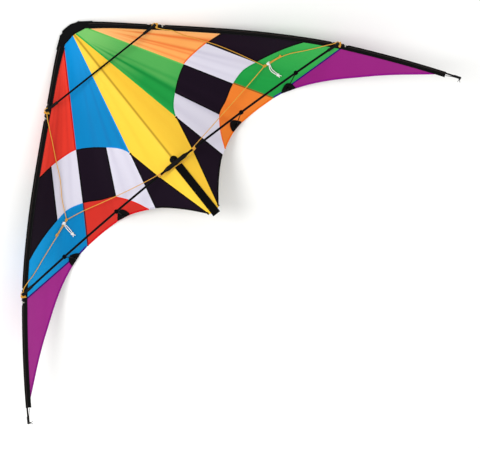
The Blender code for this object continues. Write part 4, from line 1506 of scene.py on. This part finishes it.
# Standoffs: the foot as (out, back), and how far out the ring sits on each wing
STANDOFFS = {
    "inner": ((0.249, 0.6135), {"R": 0.2815, "L": 0.2640}),
    "outer": ((0.4693, 0.6245), {"R": 0.5125, "L": 0.4980}),
}
FOOT_SEAT = 7.6 * MM
RING_HALF = 5.5 * MM
# Where the pieces on a standoff's rod begin and end, in millimetres: from the ring, from the foot
NECK_SPAN, FOOT_SPAN = (5, 20), (-16, 3.6)
STEM_SPAN = (18, -10)


def foot_level(out, back):
    """The height of a foot's end, whose seat stands square on the slanting sail."""
    away = 0.002
    places = np.array([(0, 0), (0, away), (0, -away), (away, 0), (-away, 0)]) + (out, back)
    level, further, nearer, outer, inner = drape(*places.T)
    slopes = (further - nearer) / (2 * away), (outer - inner) / (2 * away)
    return level + FOOT_SEAT * math.hypot(1, *slopes)


def add_standoff(name, letter, foot_at, out):
    side, step = SIDES[letter], 0.001
    slope = (lower_spreader_back(out + step) - lower_spreader_back(out - step)) / (2 * step)
    ring = Vector((side * out, -lower_spreader_back(out), SPREADER_LEVEL))
    axis = Vector((side, -slope, 0)).normalized() * RING_HALF
    foot = Vector((side * foot_at[0], -foot_at[1], foot_level(*foot_at)))
    down = (foot - ring).normalized() * MM
    pieces = [
        turned("ring", ring - axis, ring + axis, RING, 32),
        turned("neck", *[ring + down * along for along in NECK_SPAN], NECK, 20),
        turned("foot", *[foot + down * along for along in FOOT_SPAN], FOOT, 20),
    ]
    body = f"standoff_{name}_{letter}"
    finish(joined(body + "_fitting", pieces), RUBBER, [body], body=body, angle=40)
    first, last = STEM_SPAN
    stem = rod(body + "_stem", [ring + down * first, foot + down * last], STEM_RADIUS)
    finish(stem, STEM, body=body, angle=50)


# Knots and lines


def trefoil(centre, size, lean=0.0):
    """An overhand knot's path."""
    turn = Matrix.Rotation(lean, 3, "Z")
    found = []
    for a in np.linspace(0, 2 * math.pi, 40):
        out, up = math.sin(a) + 2 * math.sin(2 * a), math.cos(a) - 2 * math.cos(2 * a)
        found.append(Vector(centre) + turn @ Vector((out, up, -1.3 * math.sin(3 * a))) * size / 3)
    return found


def coil(centre, axis, radius, pitch, turns):
    """A line wound round an axis."""
    axis = Vector(axis).normalized()
    first = axis.orthogonal().normalized()
    second = axis.cross(first)
    found = []
    for a in np.linspace(0, 2 * math.pi * turns, round(turns * 20)):
        along = axis * (a / (2 * math.pi) - turns / 2) * pitch
        found.append(centre + along + (first * math.cos(a) + second * math.sin(a)) * radius)
    return found


def knot(name, centre, size, radius=LINE / 2, lean=0.0):
    return cord_tube(name, trefoil(centre, size, lean), radius, step=1.2 * MM)


def wrapping(name, centre, axis, radius, turns, line=LINE / 2):
    return cord_tube(name, coil(centre, axis, radius + line, line * 2.15, turns), line)


def at_plan(out, back, level):
    return Vector((out, -back, level))


# The strand of a tie that goes round its connector's head like a ring, in millimetres from there:
# (along the rod, outwards, towards the flyer)
TIE_RING = [
    (-9, -6, 7), (-8, 0, 8), (-6, 5, 6), (-2, 8, 4), (3, 8, 4), (7, 5, 6), (8, 0, 8), (8, -6, 8),
    (10, -10, 6),
]
# Size of the bridle's knots, and where the bridle is tied round the spreader beside the tee
KNOT = 4.3 * MM
TEE_TIES = {"R": 0.0784, "L": -0.0715}


def golden(piece):
    finish(piece, GOLD_LINE, angle=60)


def connector_tie(place, letter):
    """Turns round the rod past a connector with a knot on them, and a strand round its head."""
    flip = Vector((SIDES[letter], 1, 1))
    centre, ahead = rod_at(CONNECTORS[place][0])
    outer = Vector((-ahead.y, ahead.x, 0))
    middle = (centre + ahead * 8 * MM) * flip
    top = middle + (outer * 5 * MM) * flip + Vector((0, 0, 7 * MM))
    ring = [
        (centre + (ahead * along + outer * out) * MM) * flip + Vector((0, 0, up * MM))
        for along, out, up in TIE_RING
    ]
    pieces = [wrapping("turns", middle, ahead * flip, 5.9 * MM, 3.0), knot("tie", top, 4.0 * MM)]
    pieces.append(cord_tube("strand", smooth(ring, 2 * MM), LINE / 2))
    golden(joined(f"bridle_{place}_tie_{letter}", pieces))


def add_ties():
    """Where the bridle is tied to the frame and to itself."""
    for letter, out in TEE_TIES.items():
        for place in CONNECTORS:
            connector_tie(place, letter)
        middle = at_plan(out, lower_spreader_back(out), SPREADER_LEVEL)
        pieces = [wrapping("turns", middle, (1, 0, 0), 3.1 * MM, 4.0)]
        pieces.append(knot("tie", middle + Vector((0, 1 * MM, 5.5 * MM)), 3.2 * MM, lean=0.7))
        golden(joined(f"bridle_tee_tie_{letter}", pieces))
        route = BRIDLE[f"bridle_upper_{letter}"]
        golden(knot(f"bridle_tow_knot_{letter}", at_plan(*route[-3]), KNOT))
        golden(knot(f"bridle_bar_knot_{letter}", at_plan(*route[-1]), KNOT, lean=0.5))


def add_bridle():
    for name, route in BRIDLE.items():
        line = route_in_plane(smooth(route, LINE_STEP))
        add_cord(name + "_line", line, LINE, GOLD_LINE, "bridle_line", [name])


# Where on the bridle's bar the tow loop is hitched, and how far its strands part
HITCH_AT = 0.16
TOW_SPREAD, TOW_CLOSE = 2.4 * MM, 0.96 * MM


def tow_ends(letter, end, way):
    """The loop's knot and hitch, and the knot's two short tails."""
    extras = [knot(f"tow_end_knot_{letter}", end, 4.8 * MM, TOW_LINE / 2)]
    near, far = (at_plan(*place) for place in BRIDLE[f"bridle_upper_{letter}"][-2:])
    hitch = near.lerp(far, HITCH_AT)
    extras.append(wrapping(f"tow_hitch_{letter}", hitch, far - near, LINE, 3.0, TOW_LINE / 2))
    for number, side in enumerate((-1, 1)):
        steps = [(0, 0, 0), (5, 2, 0.5), (10, 4.5, 1.5)]
        tail = [end + (way * along + [side * aside, 0, up]) * MM for along, aside, up in steps]
        extras.append(cord_tube(f"tow_tail_{letter}_{number}", smooth(tail, 2 * MM), TOW_LINE / 2))
    for piece in extras:
        finish(piece, WHITE_LINE, angle=60)
    return extras


def add_tow_loops():
    """A white loop at each tow point: two strands that part and meet in a knot."""
    for letter, route in TOW_LOOPS.items():
        middle = np.array(route_in_plane(smooth(route, 3 * MM)))
        share = distances_along(middle) / distances_along(middle)[-1]
        spread = TOW_SPREAD * np.sin(np.pi * share) ** 0.6 + TOW_CLOSE
        way = middle[-1] - middle[-4]
        extras = tow_ends(letter, middle[-1], way / np.linalg.norm(way))
        for number, side in enumerate((-1, 1)):
            strand = middle + np.outer(side * spread, (1, 0, 0))
            words = {"with_pieces": extras} if number == 0 else {}
            name = f"tow_loop_{letter}_{number}"
            add_cord(name, strand, TOW_LINE, WHITE_LINE, "tow_line", [f"pigtail_{letter}"], **words)


ELASTIC = 0.9 * MM


# From the rod's tip, along it and inwards: the nock's groove, and where the sail's tip is held
GROOVE, HOLD = 6 * MM, (-44 * MM, 8 * MM)


def add_tip_loops():
    """Elastic cord from the sail's tip round the nock, with its knot."""
    tip, ahead = rod_tip()
    inward = Vector((ahead.y, -ahead.x, 0))
    groove = tip + ahead * GROOVE
    hold = tip + ahead * HOLD[0] + inward * HOLD[1]
    pieces = [wrapping("nock_turn", groove, ahead, 3.0 * MM, 2.0, ELASTIC)]
    for side in (-1, 1):
        low, high = Vector((0, 0, side * 1.2 * MM)), Vector((0, 0, side * 3.5 * MM))
        line = [hold + low, hold.lerp(groove, 0.5) + high, groove + inward * 3.6 * MM]
        pieces.append(cord_tube("strand", smooth(line, 4 * MM), ELASTIC, step=3 * MM))
    pieces.append(knot("tip_knot", groove + inward * 5.5 * MM, 2.6 * MM, ELASTIC))
    start = groove + inward * 6 * MM
    for side in (-1, 1):
        steps = [(0, 0), (5, 2), (9, 5)]
        line = [start + inward * along * MM + ahead * side * aside * MM for along, aside in steps]
        pieces.append(cord_tube("tail", smooth(line, 2 * MM), ELASTIC, step=2 * MM))
    both_wings(joined("tip_elastic", pieces), "tip_elastic", SHOCK_CORD, [], angle=60)


add_camera()
add_studio()
add_ties()
add_bridle()
add_tow_loops()
add_tip_loops()
outlines = {key: turned_left(outline) for key, outline in add_panels().items()}
add_seams(outlines)
add_hems(outlines)
add_sleeves()
add_nose()
add_strap()
add_patches()
add_round_patch()
add_rods()
add_tee()
for name, (back, length) in CONNECTORS.items():
    add_connector(name, back, length)
add_nocks()
for name, (foot_at, rings) in STANDOFFS.items():
    for letter, out in rings.items():
        add_standoff(name, letter, foot_at, out)
